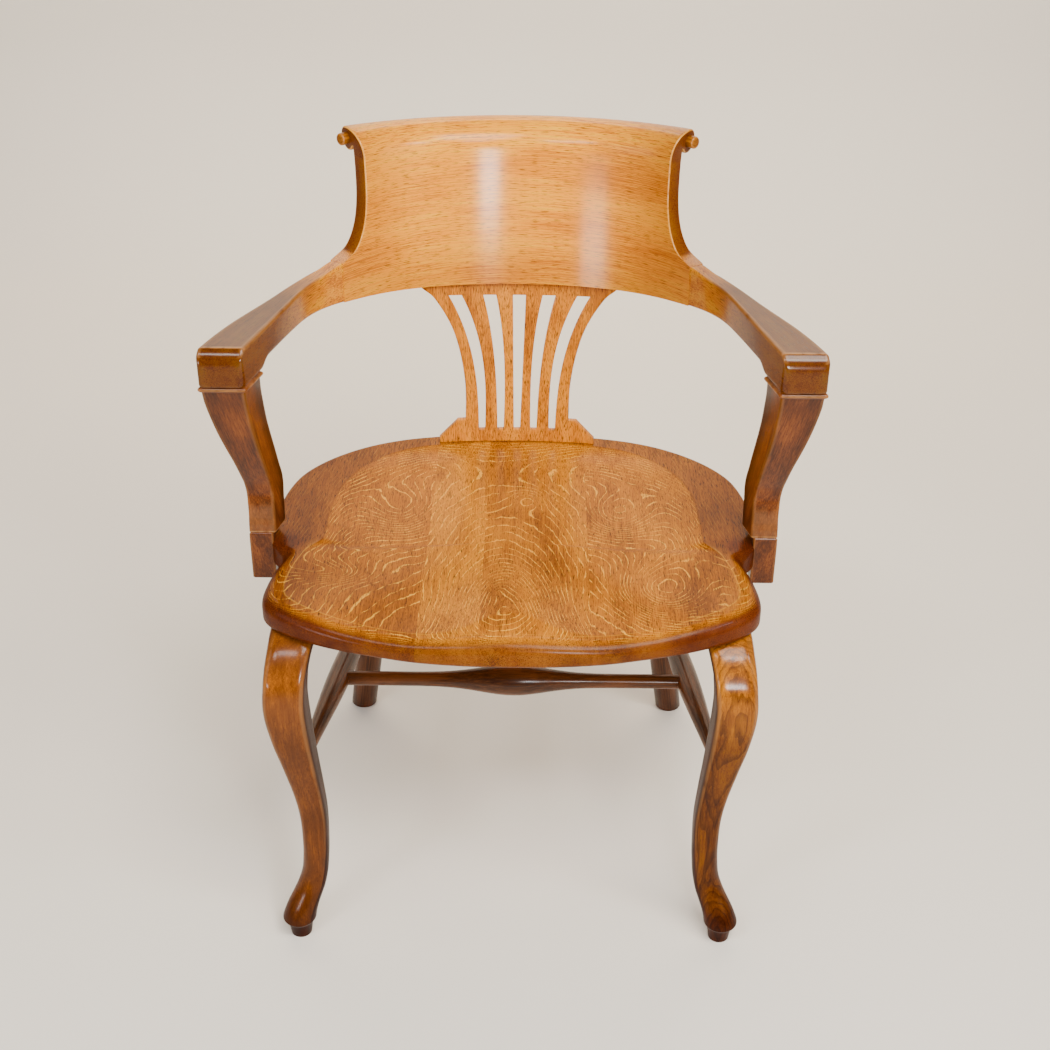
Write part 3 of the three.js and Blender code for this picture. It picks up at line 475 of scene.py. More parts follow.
@dataclass(frozen=True)
class Oak:
    """Oak, sawn and planed, stained and french polished: streaks and dark open pores run along the
    grain under a clear glossy film, which gives soft highlights over a slightly uneven surface.

    Each pattern's size is its length with the grain and its width across it, in mm. Real pores are
    0.3 mm wide, which is finer than the render's pixels of about 1 mm, so they are drawn coarser.
    The attributes "tone", "wear", "figure" and "ledge" say where a piece is darker,
    which is stain on some pieces and painted shade on others; pale, which is wear and on the
    supports' fronts a painted highlight; cut through its layers; and plain.
    """

    name: str
    light: str
    base: str
    shade: str
    pore: str = "#4a2a12"
    pale: str = "#f0c070"
    places: Places = Places.GRAIN
    streak: Pair = (180.0, 2.4)
    streak_strength: float = 0.75
    cloud: Pair = (150.0, 38.0)
    cloud_strength: float = 0.7
    # Where the shade, the base and the light colour lie on the mix of streaks and clouds
    stops: Three = (0.3, 0.5, 0.72)
    pores: Pair = (8.0, 0.7)
    pore_strength: float = 0.5
    pore_cover: float = 0.56
    pore_edge: float = 0.12
    # Height of one layer of growth, and the lines that show where the surface cuts it
    figure: float = 0.0
    figure_strength: float = 0.0
    figure_width: float = 0.15
    figure_wander: Pair = (110.0, 70.0)
    figure_waver: Pair = (22.0, 9.0)
    wander_layers: float = 2.4
    waver_layers: float = 0.6
    figure_breaks: Pair = (22.0, 13.0)
    figure_open: Pair = (0.36, 0.72)
    figure_edge: Pair = (-0.02, 0.05)
    ledge_plain: float = 0.6
    # Distance between growth rings, round a centre line along the grain
    ring: float = 0.0
    ring_strength: float = 0.0
    ring_centre: Pair = (0.0, 0.0)
    ring_taper: float = 0.02
    late_wood: Pair = (0.45, 0.95)
    ring_waver: Pair = (160.0, 26.0)
    waver_rings: float = 5.0
    # Strength and patches of the pale mark: rubbed wear, and on the supports' fronts a painted
    # highlight
    wear_and_highlight_strength: float = 0.0
    pale_patch: Pair = (30.0, 9.0)
    pale_patch_edge: Pair = (0.25, 0.5)
    # Colour that the tone darkens towards, for stain and painted shade alike
    tone: str = "#95806c"
    phase: float = 0.0
    # Roughness between the streaks and on them, and the part of the noise that it follows
    roughness: Pair = (0.3, 0.42)
    streak_span: Pair = (0.3, 0.7)
    specular: float = 0.05
    coat: float = 0.55
    # Share of the coat that is gone where the tone is darkest
    coat_lost: float = 0.0
    coat_roughness: float = 0.16
    bump: float = 0.12
    ripple: Pair = (40.0, 14.0)
    ripple_height: float = 1.6
    relief: float = 0.0012

    def spread(
        self, graph: Graph, place: Any, size: Pair, detail: float = 3.0, rough: float = 0.55
    ) -> Any:
        """Noise whose lumps are stretched along the grain.

        Args:
            graph: the material's nodes.
            place: where the noise is read, in mm.
            size: length and width of its lumps.
            detail: how many finer noises are added to it.
            rough: how strong these are.

        Returns:
            The noise, mostly 0.3 to 0.7.
        """
        scale = (1 / size[0], 1 / size[1], 1 / size[1])
        shift = (self.phase, self.phase, 0.0)
        at = graph.add("Mapping", {"Vector": place, "Scale": scale, "Location": shift})
        noise = {"Vector": at, "Scale": 1.0, "Detail": detail, "Roughness": rough}
        return graph.add("TexNoise", noise, "Fac")

    def streaked(self, graph: Graph, place: Any, streak: Any) -> Any:
        """Colour of the wood between its pores: a ramp over streaks that clouds shift.

        Args:
            graph: the material's nodes.
            place: place in the wood, in mm.
            streak: the streaks' noise.

        Returns:
            The colour.
        """
        mixed = {0: streak, 1: self.streak_strength, 2: (1 - self.streak_strength) / 2}
        mixed = graph.add("Math", mixed, operation="MULTIPLY_ADD")
        cloud = self.spread(graph, place, self.cloud, detail=2.0)
        cloud = graph.add("Math", {0: cloud, 1: 0.5}, operation="SUBTRACT")
        drift = {0: cloud, 1: self.cloud_strength, 2: mixed}
        ramp = graph.add("ValToRGB", {0: graph.add("Math", drift, operation="MULTIPLY_ADD")})
        stops = ramp.node.color_ramp.elements
        stops.new(self.stops[1])
        for stop, position, code in zip(stops, self.stops, (self.shade, self.base, self.light)):
            stop.position, stop.color = position, srgb(code)
        return ramp

    def layered(self, graph: Graph, place: Any, colour: Any) -> Any:
        """Pale lines where the carved surface cuts the layers of the wood: the fraction of (height
        / layer) near one half, over a width that a noise opens and closes; faint on the ledge.

        Args:
            graph: the material's nodes.
            place: place in the wood, in mm.
            colour: the wood's colour.

        Returns:
            The colour with the lines over it.
        """
        height = graph.add("Attribute", out="Fac", attribute_name="figure")
        height = graph.add("Math", {0: height, 1: 1 / self.figure}, operation="MULTIPLY")
        for size, layers, detail in (
            (self.figure_wander, self.wander_layers, 2.0),
            (self.figure_waver, self.waver_layers, 3.0),
        ):
            shift = {0: self.spread(graph, place, size, detail=detail), 1: layers, 2: height}
            height = graph.add("Math", shift, operation="MULTIPLY_ADD")
        fraction = graph.add("Math", {0: height}, operation="FRACT")
        off = graph.add("Math", {0: fraction, 1: 0.5}, operation="SUBTRACT")
        off = graph.add("Math", {0: off}, operation="ABSOLUTE")
        width = graph.add("MapRange", {
            "Value": self.spread(graph, place, self.figure_breaks, detail=2.0),
            "From Min": self.figure_open[0], "From Max": self.figure_open[1],
            "To Max": self.figure_width,
        })
        gap = graph.add("Math", {0: width, 1: off}, operation="SUBTRACT")
        edge = {"Value": gap, "From Min": self.figure_edge[0], "From Max": self.figure_edge[1]}
        line = graph.add("MapRange", edge, interpolation_type="SMOOTHSTEP")
        ledge = graph.add("Attribute", out="Fac", attribute_name="ledge")
        faint = {0: ledge, 1: -self.ledge_plain * self.figure_strength, 2: self.figure_strength}
        faint = graph.add("Math", faint, operation="MULTIPLY_ADD")
        line = graph.add("Math", {0: line, 1: faint}, operation="MULTIPLY")
        return graph.add("MixRGB", {"Fac": line, "Color1": colour, "Color2": srgb(self.pale)})

    def ringed(self, graph: Graph, place: Any, colour: Any) -> Any:
        """Growth rings round a line along the grain: the fraction of (distance from it / spacing).

        Args:
            graph: the material's nodes.
            place: place in the wood, in mm.
            colour: the wood's colour.

        Returns:
            The colour with the late wood of each ring darker.
        """
        centre = (0.0, -self.ring_centre[0], -self.ring_centre[1])
        flat = {"Vector": place, "Location": centre, "Scale": (self.ring_taper, 1.0, 1.0)}
        flat = graph.add("Mapping", flat)
        distance = graph.add("VectorMath", {0: flat}, "Value", operation="LENGTH")
        turns = graph.add("Math", {0: distance, 1: self.ring}, operation="DIVIDE")
        wander = self.spread(graph, place, self.ring_waver, detail=2.0)
        wander = {0: wander, 1: self.waver_rings, 2: turns}
        turns = graph.add("Math", wander, operation="MULTIPLY_ADD")
        fraction = graph.add("Math", {0: turns}, operation="FRACT")
        band = {"Value": fraction, "From Min": self.late_wood[0], "From Max": self.late_wood[1]}
        band["To Max"] = self.ring_strength
        band = graph.add("MapRange", band, interpolation_type="SMOOTHSTEP")
        return graph.add("MixRGB", {"Fac": band, "Color1": colour, "Color2": srgb(self.pore)})

    def paled(self, graph: Graph, place: Any, colour: Any) -> Any:
        """Pale wood where the "wear" attribute and a patchy noise say so: stain rubbed
        away, and on the supports' fronts a painted highlight.

        Args:
            graph: the material's nodes.
            place: place in the wood, in mm.
            colour: the wood's colour.

        Returns:
            The colour with the rubbed patches over it.
        """
        pale_mark = graph.add("Attribute", out="Fac", attribute_name="wear")
        patch = {"Value": self.spread(graph, place, self.pale_patch), "To Max": self.wear_and_highlight_strength}
        patch |= {"From Min": self.pale_patch_edge[0], "From Max": self.pale_patch_edge[1]}
        patch = graph.add("MapRange", patch, interpolation_type="SMOOTHSTEP")
        pale_mark = graph.add("Math", {0: pale_mark, 1: patch}, operation="MULTIPLY")
        return graph.add("MixRGB", {"Fac": pale_mark, "Color1": colour, "Color2": srgb(self.pale)})

    def material(self) -> bpy.types.Material:
        """Lay pores, tone with its painted shade, pale wear with its painted highlight, and polish
        over the wood's colour.

        Returns:
            The finish as a Blender material.
        """
        graph = Graph.blank(self.name)
        if self.places is Places.GRAIN:
            source = graph.add("Attribute", out="Vector", attribute_name="grain")
        else:
            source = graph.add("TexCoord", out="Object")
        place = graph.add("VectorMath", {0: source, "Scale": 1 / MM}, operation="SCALE")
        streak = self.spread(graph, place, self.streak, detail=5.0, rough=0.62)
        colour = self.streaked(graph, place, streak)
        if self.ring:
            colour = self.ringed(graph, place, colour)
        if self.figure:
            colour = self.layered(graph, place, colour)

        pore = self.spread(graph, place, self.pores, detail=2.0, rough=0.5)
        dark = {"Value": pore, "From Min": self.pore_cover, "To Max": self.pore_strength}
        dark["From Max"] = self.pore_cover + self.pore_edge
        dark = graph.add("MapRange", dark, interpolation_type="SMOOTHSTEP")
        colour = graph.add("MixRGB", {"Fac": dark, "Color1": colour, "Color2": srgb(self.pore)})
        # The tone is stain on some pieces and painted shade on others
        tone = graph.add("Attribute", out="Fac", attribute_name="tone")
        stain = {"Fac": tone, "Color1": colour, "Color2": srgb(self.tone)}
        colour = graph.add("MixRGB", stain, blend_type="MULTIPLY")
        # Pale wear, and on the supports' fronts a painted highlight
        if self.wear_and_highlight_strength:
            colour = self.paled(graph, place, colour)

        rough = {"Value": streak, "From Min": self.streak_span[0], "From Max": self.streak_span[1]}
        rough |= {"To Min": self.roughness[0], "To Max": self.roughness[1]}
        rough = graph.add("MapRange", rough)
        wave = self.spread(graph, place, self.ripple, detail=2.0)
        relief = graph.add("Math", {0: wave, 1: self.ripple_height}, operation="MULTIPLY")
        relief = graph.add("Math", {0: relief, 1: dark}, operation="SUBTRACT")
        bump = {"Height": relief, "Strength": self.bump, "Distance": self.relief}
        film = {"Height": wave, "Strength": self.bump / 2, "Distance": self.relief}
        coat = self.coat
        if self.coat_lost:
            lost = {0: tone, 1: -self.coat_lost * self.coat, 2: self.coat}
            coat = graph.add("Math", lost, operation="MULTIPLY_ADD")
        shader = graph.add("BsdfPrincipled", {
            "Base Color": colour, "Roughness": rough, "IOR": 1.5, "Normal": graph.add("Bump", bump),
            "Specular IOR Level": self.specular, "Coat Weight": coat,
            "Coat Roughness": self.coat_roughness, "Coat Normal": graph.add("Bump", film),
        })
        graph.add("OutputMaterial", {"Surface": shader})
        return graph.material


# Golden oak under thick polish: fine dark pores and soft streaks run along the back, which is a
# bright orange where the light falls on it and shows the windows as two soft bands
GOLDEN = Oak(
    "polished_golden_oak", light="#ffb818", base="#fa9c08", shade="#c66a02", pore="#542604",
    pale="#f4b860", streak=(80.0, 1.0), streak_strength=1.2, pores=(13.0, 0.7), pore_strength=0.85,
    cloud=(220.0, 40.0), cloud_strength=0.5, wear_and_highlight_strength=0.5, roughness=(0.32, 0.42),
    specular=0.02, coat_roughness=0.18, bump=0.08, tone="#6c5646",
)
# The same oak on the arms, which handling and older polish have browned away from the joint: a
# patchy brown with pale rubbed arrises and the sharpest highlights of the chair
HANDLED = replace(
    GOLDEN, name="handled_arm_oak", tone="#625448", pale="#c88c50", cloud=(60.0, 20.0),
    cloud_strength=0.9, coat=0.6, coat_roughness=0.14, wear_and_highlight_strength=0.6,
)
# Seat oak, carved across its layers: they show as pale lines round every hollow, under polish that
# sitting has worn nearly dull
SEATING = Oak(
    "worn_seat_oak", light="#cc8208", base="#b26806", shade="#7e4202", pore="#3c1c02",
    pale="#eeaa28", tone="#846250", streak=(70.0, 1.2), streak_strength=0.9, cloud=(120.0, 46.0),
    pore_strength=0.9, pore_cover=0.54, figure=1.05, figure_strength=0.85, wear_and_highlight_strength=0.8,
    roughness=(0.42, 0.52), specular=0.04, coat=0.2, coat_roughness=0.22,
)
# Supports and collars, of oak under a brown stain that leaves its streaks dark and close
BROWN = Oak(
    "stained_brown_oak", light="#8e4c18", base="#663210", shade="#3e1c08", pore="#180902",
    pale="#c08a50", tone="#6a5044", pores=(6.0, 0.5), pore_strength=0.6, streak=(110.0, 1.4),
    cloud=(60.0, 16.0), cloud_strength=0.6, wear_and_highlight_strength=0.8, coat=0.4, coat_roughness=0.14,
    bump=0.08,
)
# Front legs, cut from thick stock: growth rings show as loops where the knee swells, and the knee
# shines while the inner sides are painted in shade and lose most of their coat where it is darkest
LEGGED = replace(
    BROWN, name="polished_leg_oak", light="#b8700a", base="#985608", shade="#6c3604",
    pore="#351604", ring=6.0, ring_strength=0.35, cloud_strength=0.8, coat=0.45, coat_lost=0.85,
    coat_roughness=0.16,
)
# Rear legs and stretchers: nearly black-brown stain, which shows little grain and narrow highlights
DARK = Oak(
    "dark_stained_oak", light="#74401a", base="#522c10", shade="#321808", pore="#160a04",
    pale="#8a5a30", streak=(120.0, 1.6), pores=(7.0, 0.5), pore_strength=0.4, cloud=(80.0, 20.0),
    wear_and_highlight_strength=0.35, roughness=(0.32, 0.45), coat=0.45, coat_roughness=0.2,
)
# Splat oak, plain sawn and thin: coarse dark pores run upright under a thin polish that they break
SPLATTED = Oak(
    "open_pored_splat_oak", light="#e8941a", base="#d27c0c", shade="#a25604", pore="#401c06",
    pale="#f0b478", streak=(60.0, 1.6), pores=(9.0, 0.8), pore_strength=0.85, pore_cover=0.53,
    cloud=(80.0, 26.0), wear_and_highlight_strength=0.4, roughness=(0.36, 0.5), coat=0.5, coat_roughness=0.24,
    bump=0.2,
)
# Beech dowels, bare: pale and matt, hidden in the joints
DOWEL = Oak(
    "bare_beech_dowel", light="#d9b98a", base="#c9a26b", shade="#b38a55", pore="#8a6a42",
    places=Places.OBJECT, coat=0.0, roughness=(0.6, 0.7),
)


@dataclass(frozen=True)
class ScrewSteel:
    """Drawn mild steel, bright but dulled by handling: grey with fine grit. Its grit of 0.1 mm is
    drawn at 1 mm, because finer grit wouldn't show."""

    name: str = "dull_mild_steel"
    grit_per_metre: float = 900.0
    roughness: Pair = (0.35, 0.55)

    def material(self) -> bpy.types.Material:
        """Grey steel whose tint and gloss follow one fine noise.

        Returns:
            The finish as a Blender material.
        """
        graph = Graph.blank(self.name)
        noise = {"Vector": graph.add("TexCoord", out="Object"), "Scale": self.grit_per_metre}
        noise = graph.add("TexNoise", noise | {"Detail": 2.0}, "Fac")
        greys = {"Fac": noise, "Color1": srgb("#6d6a65"), "Color2": srgb("#9c9994")}
        rough = {"Value": noise, "To Min": self.roughness[0], "To Max": self.roughness[1]}
        rough = graph.add("MapRange", rough)
        shader = {"Base Color": graph.add("MixRGB", greys), "Metallic": 1.0, "Roughness": rough}
        graph.add("OutputMaterial", {"Surface": graph.add("BsdfPrincipled", shader)})
        return graph.material


@dataclass
class Workshop:
    """What every sub-assembly shares: the frame's nodes, the placing, and each finish made once."""

    nodes: dict[str, bpy.types.Object]
    placing: Placing
    made: dict[str, bpy.types.Material] = field(default_factory=dict)

    def finish(self, look: Oak | ScrewSteel) -> bpy.types.Material:
        """Make the material of a finish the first time it is asked for.

        Args:
            look: the finish.

        Returns:
            Its material.
        """
        if look.name not in self.made:
            self.made[look.name] = look.material()
        return self.made[look.name]

    def polish(self, obj: bpy.types.Object, look: Oak | ScrewSteel) -> None:
        """Give an object one finish and no other."""
        obj.data.materials.clear()
        obj.data.materials.append(self.finish(look))

    def dress(self, obj: bpy.types.Object, look: Oak, node: str) -> None:
        """Give a new piece its finish, hang it on the body and hide the CAD node that it stands
        for.

        Args:
            obj: the piece.
            look: its finish.
            node: the CAD node that it stands for.
        """
        self.polish(obj, look)
        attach(obj, BODY)
        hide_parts(node)
        log.info("%s stands for %s, in %s", obj.name, node, look.name)

    def show(self, shell: Shell, node: str, look: Oak) -> None:
        """Make a shell an object that stands for a CAD node."""
        self.dress(shell.object(f"oak_{node}", self.placing), look, node)

    def show_pair(self, shell: Shell, node: str, look: Oak) -> None:
        """Make a shell and its mirror image, which stand for the left and the right node."""
        self.show(shell, f"{node}_left", look)
        self.show(shell.mirrored(), f"{node}_right", look)

    def keep(self, node: str, look: Oak | ScrewSteel) -> None:
        """Show a CAD node as it is, with a finish of its own."""
        self.polish(self.nodes[node], look)
        log.info("%s keeps its CAD shape, in %s", node, look.name)


# ---------------------------------------------------------------- the bow


@dataclass(frozen=True)
class Bow:
    """The plan curve that the back panel and both arms follow, on their inner face."""

    radius: float = 245.0
    centre_y: float = -10.0
    wrap: float = math.radians(76.0)
    lean: float = math.radians(9.0)
    lean_fade: Pair = (200.0, 300.0)
    joint_at: float = 229.0
    end_at: float = 478.0
    back_bottom: float = 645.0
    arm_bottom: float = 666.0
    bottom_rise_end: float = 380.0
    arm_top: float = 700.0

    def frame(self, distance: Array) -> tuple[Array, ...]:
        """Follow the curve: an arc to the wrap angle, then its tangent.

        Args:
            distance: distances along the curve, positive down the left arm.

        Returns:
            Point, tangent and outward direction at each distance.
        """
        side = np.where(distance < 0, 1.0, -1.0)
        length = np.abs(distance)
        angle = np.minimum(length / self.radius, self.wrap)
        straight = np.maximum(length - self.radius * self.wrap, 0.0)
        zero = np.zeros_like(angle)
        tangent = np.stack([side * np.cos(angle), -np.sin(angle), zero], axis=-1)
        outward = np.stack([side * np.sin(angle), np.cos(angle), zero], axis=-1)
        centre = np.array([0.0, self.centre_y, 0.0])
        point = centre + outward * self.radius + tangent * straight[..., None]
        return point, tangent, outward

    def place(self, distance: Array, depth: Array, height: Array) -> Array:
        """Place points on the bow, whose back leans by tan(lean) x (height - arm top), a lean that
        fades out along the arms.

        Args:
            distance: distances along the bow.
            depth: depths behind its inner face.
            height: heights over the floor.

        Returns:
            The points.
        """
        distance, depth, height = np.broadcast_arrays(distance, depth, height)
        point, _, outward = self.frame(distance)
        hold = 1.0 - ease(np.abs(distance), *self.lean_fade)
        back = math.tan(self.lean) * (height - self.arm_top) * hold
        rise = np.stack([np.zeros_like(back), back, height], axis=-1)
        return point + outward * depth[..., None] + rise

    def bottom(self, distance: Array) -> Array:
        """Height of the lower edge at a distance along the bow."""
        share = ease(np.abs(distance), 0.0, self.bottom_rise_end)
        return lerp(self.back_bottom, self.arm_bottom, share)


# ---------------------------------------------------------------- sub-assemblies


def swell(x: Array, y: Array, spot: Row) -> Array:
    """Height x e^(-(x / reach)^2 - (y / reach)^2) from a spot's (centre, height, reaches)."""
    at_x, at_y, height, reach_x, reach_y = spot
    return height * np.exp(-(((x - at_x) / reach_x) ** 2) - ((y - at_y) / reach_y) ** 2)


@dataclass(frozen=True)
class Board:
    """One board of the seat: its tint and how its layers of growth lie, as a tilt along the seat
    (mm per mm), a knot (place, mm per mm across and along) and swells (place, height, reach)."""

    base: str
    light: str
    phase: float
    tilt: float = 0.0
    knot: Four = (0.0, 0.0, 0.0, 0.0)
    swells: tuple[Row, ...] = ()
    knot_round: float = 0.04

    def layers(self, points: Array) -> Array:
        """Heights above one layer of growth: a point's own height, the tilt, a cone round the knot
        whose slopes differ across and along, and a Gaussian swell at each place.

        Args:
            points: array (points, 3).

        Returns:
            The heights, in mm.
        """
        x, y, z = points.T
        at_x, at_y, across, lengthwise = self.knot
        cone = (across * (x - at_x)) ** 2 + (lengthwise * (y - at_y)) ** 2 + self.knot_round
        return z + self.tilt * y - np.sqrt(cone) + sum(swell(x, y, spot) for spot in self.swells)


KNOTTED = Board(
    "#b86e08", "#d4860a", 11.0, 0.02, (-14.0, -127.0, 0.16, 0.085), ((17.0, 83.0, 4.0, 20.0, 24.0),)
)
LEFT_SWELLS = ((-134.0, 60.0, 10.0, 44.0, 56.0), (-198.0, -94.0, 6.0, 40.0, 20.0))
RIGHT_SWELLS = ((124.0, 50.0, 10.0, 38.0, 50.0), (165.0, -118.0, 14.0, 46.0, 60.0))
BOARDS = (
    Board("#a45c06", "#c07208", 3.0, 0.06, swells=LEFT_SWELLS),
    KNOTTED,
    replace(KNOTTED, base="#b06606", light="#ca7e08", phase=23.0),
    Board("#ac6206", "#c87a08", 37.0, 0.07, swells=RIGHT_SWELLS),
)


def part_between(whole: bpy.types.Object, name: str, low: float, high: float) -> bpy.types.Object:
    """Copy what lies between two planes square to X, closed where it was cut.

    Args:
        whole: the object that is parted.
        name: the new object's name.
        low: place of the first plane, in metres.
        high: place of the second plane, in metres.

    Returns:
        The new object.
    """
    shape = bmesh.new()
    shape.from_mesh(whole.data)
    for place, sense in ((low, -1.0), (high, 1.0)):
        everything = [*shape.verts, *shape.edges, *shape.faces]
        cut = bmesh.ops.bisect_plane(
            shape, geom=everything, dist=TINY, clear_outer=True,
            plane_co=(place, 0, 0), plane_no=(sense, 0, 0),
        )
        rim = [g for g in cut["geom_cut"] if isinstance(g, bmesh.types.BMEdge)]
        if rim:
            bmesh.ops.edgeloop_fill(shape, edges=rim)
    mesh = bpy.data.meshes.new(name)
    shape.to_mesh(mesh)
    shape.free()
    return link_object(name, mesh)


@dataclass
class Seat:
    """Four boards glued edge to edge and dished, with a raised rim behind and a rolled front."""

    top: float = 440.0
    thickness: float = 32.0
    centre_y: float = -10.0
    back_y: float = 234.0
    front_y: float = -237.0
    cusp: Pair = (273.0, -41.0)
    notch: Pair = (255.0, -63.0)
    bulge_x: float = 268.0
    dish_depth: float = 13.0
    curves: Pair = (2.3, 6.0)
    thigh_drop: float = 7.0
    pommel: Pair = (5.0, 48.0)
    rolls: Pair = (17.0, 5.0)
    roll_drop_share: float = 0.8
    under_roll: float = 7.0
    glue_lines: Row = (-98.0, -33.0, 85.0)
    ledge_tilt: float = 0.24
    count: int = 440
    # Tone at the sides, on the front roll and on the ledge round the dish: painted shade towards
    # the sides and over the roll, its wall and the underside, and a browner ledge that is partly
    # painted shade; where the first two start and are full, as shares of the width and as rings
    # past the start of the roll
    tones: Three = (0.3, 0.9, 0.4)
    side_fade: Pair = (0.5, 0.95)
    roll_fade: Pair = (1.0, 6.0)
    arris_wear: float = 0.35
    # Darker patches, as swells: one by X and Y at the front left, and painted shade by the share of
    # the width in both notches, where the seat meets the blocks
    patch: Row = (-195.0, -110.0, 0.25, 60.0, 50.0)
    notch_shade: Row = (0.96, -50.0, 0.7, 0.07, 24.0)

    rear_shares: tuple[Pair, ...] = (
        (0, 1), (0.18, 0.989), (0.366, 0.951), (0.514, 0.911), (0.649, 0.846), (0.771, 0.752),
        (0.875, 0.632), (0.948, 0.5), (0.988, 0.348), (1.005, 0.206), (1.007, 0.1),
    )
    front_shares: tuple[Pair, ...] = (
        (0.985, 0.42), (1, 0.6), (0.982, 0.684), (0.905, 0.766), (0.775, 0.842), (0.67, 0.886),
        (0.508, 0.937), (0.369, 0.972), (0.18, 0.995), (0, 1),
    )
    dish_places: Row = (0.0, 0.25, 0.42, 0.6, 0.8, 1.0)
    dish_shares: Row = (0.893, 0.9, 0.866, 0.81, 0.785, 0.79)
    front_dish_share: float = 0.915

    def outline(self) -> tuple[Array, ...]:
        """Plan of the seat's edge, evenly spaced. The rear curve ends in the cusp, a short straight
        joins it to the notch, and the front curve goes on from there; the left half is mirrored.

        Returns:
            The points, how much of a rear edge each is, and the share that the dish takes there.
        """
        rear = [(-x * self.cusp[0], y * self.back_y) for x, y in self.rear_shares]
        front = [(-x * self.bulge_x, y * self.front_y) for x, y in self.front_shares]
        rear = through([*rear, (-self.cusp[0], self.cusp[1])], 24)
        front = through([(-self.notch[0], self.notch[1]), *front], 24)
        half = np.vstack([rear, front])
        dish = along(self.dish_places, self.dish_shares, np.linspace(0, 1, len(rear)))
        dish = np.concatenate([dish, np.full(len(front), self.front_dish_share)])
        is_rear = np.concatenate([np.ones(len(rear)), np.zeros(len(front))])
        steps = np.linalg.norm(np.diff(half, axis=0), axis=1)
        run = np.concatenate([[0.0], np.cumsum(steps)])
        at = np.linspace(0, run[-1], self.count // 2 + 1)
        x, y, dish, is_rear = (np.interp(at, run, v) for v in (*half.T, dish, is_rear))
        halves = ((x, -1), (y, 1), (dish, 1), (ease(is_rear, 0.0, 1.0), 1))
        whole = [np.concatenate([v, sign * v[-2:0:-1]]) for v, sign in halves]
        for _ in range(2):
            whole = [(np.roll(v, 1) + 2 * v + np.roll(v, -1)) / 4 for v in whole]
        return np.stack(whole[:2], axis=-1), whole[3], whole[2]

    def height(self, share: Array, edge: Array, rear: Array, point: Array) -> Array:
        """Height of the top: rim - depth x (1 - share^curve), less the drop under the thighs, plus
        the low ridge in the middle of the front, which is no higher than the hollow is deep.

        Args:
            share: how far each point is from the middle to the rim of the dish.
            edge: the point of the seat's edge beyond each.
            rear: how much of a rear edge that is.
            point: plan of the points.

        Returns:
            The heights.
        """
        curve = lerp(self.curves[0], self.curves[1], rear)
        hollow = self.dish_depth * (1.0 - share**curve)
        thigh = (1.0 - np.cos(2 * math.pi * np.abs(edge[:, 0]) / self.bulge_x)) / 2
        drop = self.thigh_drop * thigh * (1.0 - rear) * share**2
        rise, width = self.pommel
        forward = ease(point[..., 1] / self.front_y, 0.1, 0.8)
        ridge = rise * np.exp(-((point[..., 0] / width) ** 2)) * forward
        return self.top - hollow - drop + np.minimum(ridge, hollow)

    def shell(self) -> Shell:
        """The seat before it is parted: rings from the middle of the top out over the rolled edge,
        whose section is a quarter ellipse, down the wall and in again underneath.

        Returns:
            The shell, with its tone, which is mostly painted shade, its wear and where it is ledge.
        """
        edge, rear, dish = self.outline()
        centre = np.array([0.0, self.centre_y])
        reach = np.linalg.norm(edge - centre, axis=1)
        roll = lerp(self.rolls[0], self.rolls[1], rear)
        under = self.top - self.thickness

        def ring(share: Array, lowered: Array | float = 0.0, level: float | None = None) -> Array:
            """One ring, on the carved top or at a level.

            Args:
                share: how far it is from the middle to the edge.
                lowered: how far it lies under the carved top.
                level: its height, where it isn't on the top.

            Returns:
                Array (points, 3).
            """
            point = centre + (edge - centre) * np.broadcast_to(share, reach.shape)[:, None]
            if level is None:
                z = self.height(np.minimum(share / dish, 1.0), edge, rear, point) - lowered
            else:
                z = np.full(len(edge), level)
            return np.column_stack([point, z])

        dished = (*np.linspace(0.02, 0.96, 44), 0.975, 0.988, 0.996, 1.0)
        rings = [ring(s * dish) for s in dished]
        flat_end = 1 - roll / reach
        flat = (0.02, 0.08, 0.2, 0.4, 0.6, 0.8)
        rings += [ring(lerp(dish, flat_end, share)) for share in flat]
        rim_ring, roll_ring = len(dished) - 1, len(rings)
        for angle in np.linspace(0, math.pi / 2, 11):
            lowered = roll * self.roll_drop_share * (1 - math.cos(angle))
            rings.append(ring(1 - roll * (1 - math.sin(angle)) / reach, lowered))
        for angle in np.linspace(0, math.pi / 2, 7):
            share = 1 - self.under_roll * (1 - math.cos(angle)) / reach
            rings.append(ring(share, level=under + self.under_roll * (1 - math.sin(angle))))
        rings += [ring(s, level=under) for s in (0.94, 0.8, 0.5, 0.2)]

        whole = np.stack(rings)
        shell = Shell.lofted(whole, whole[..., [1, 0, 2]])
        number = np.arange(len(rings))[:, None] + np.zeros(len(edge))
        ledge = np.where(number >= rim_ring - 1, rear, 0.0)
        on_arris = (number >= rim_ring) & (number < rim_ring + 3)
        wear = np.where(on_arris, self.arris_wear * (1 - rear), 0.0)
        number, ledge, wear = (
            np.append(v.ravel(), poles)
            for v, poles in ((number, [0, len(rings)]), (ledge, [0, 0]), (wear, [0, 0]))
        )
        x, y, _ = shell.points.T
        outer = np.abs(x) / self.bulge_x
        rolled = (1 - ledge) * ease(number - roll_ring, *self.roll_fade)
        # Painted shade towards the sides and over the roll; the ledge browner, partly painted shade
        side_shade, roll_shade, on_ledge = self.tones
        tone = side_shade * ease(outer, *self.side_fade) + on_ledge * ledge
        tone += roll_shade * rolled * (0.85 + 0.15 * ease(outer, 0.2, 0.9))
        # A darker patch at the front left, and painted shade in the notches
        tone += swell(x, y, self.patch) + swell(outer, y, self.notch_shade)
        shell.marks = {"tone": np.clip(tone, 0, 1), "wear": wear, "ledge": ledge}
        return shell

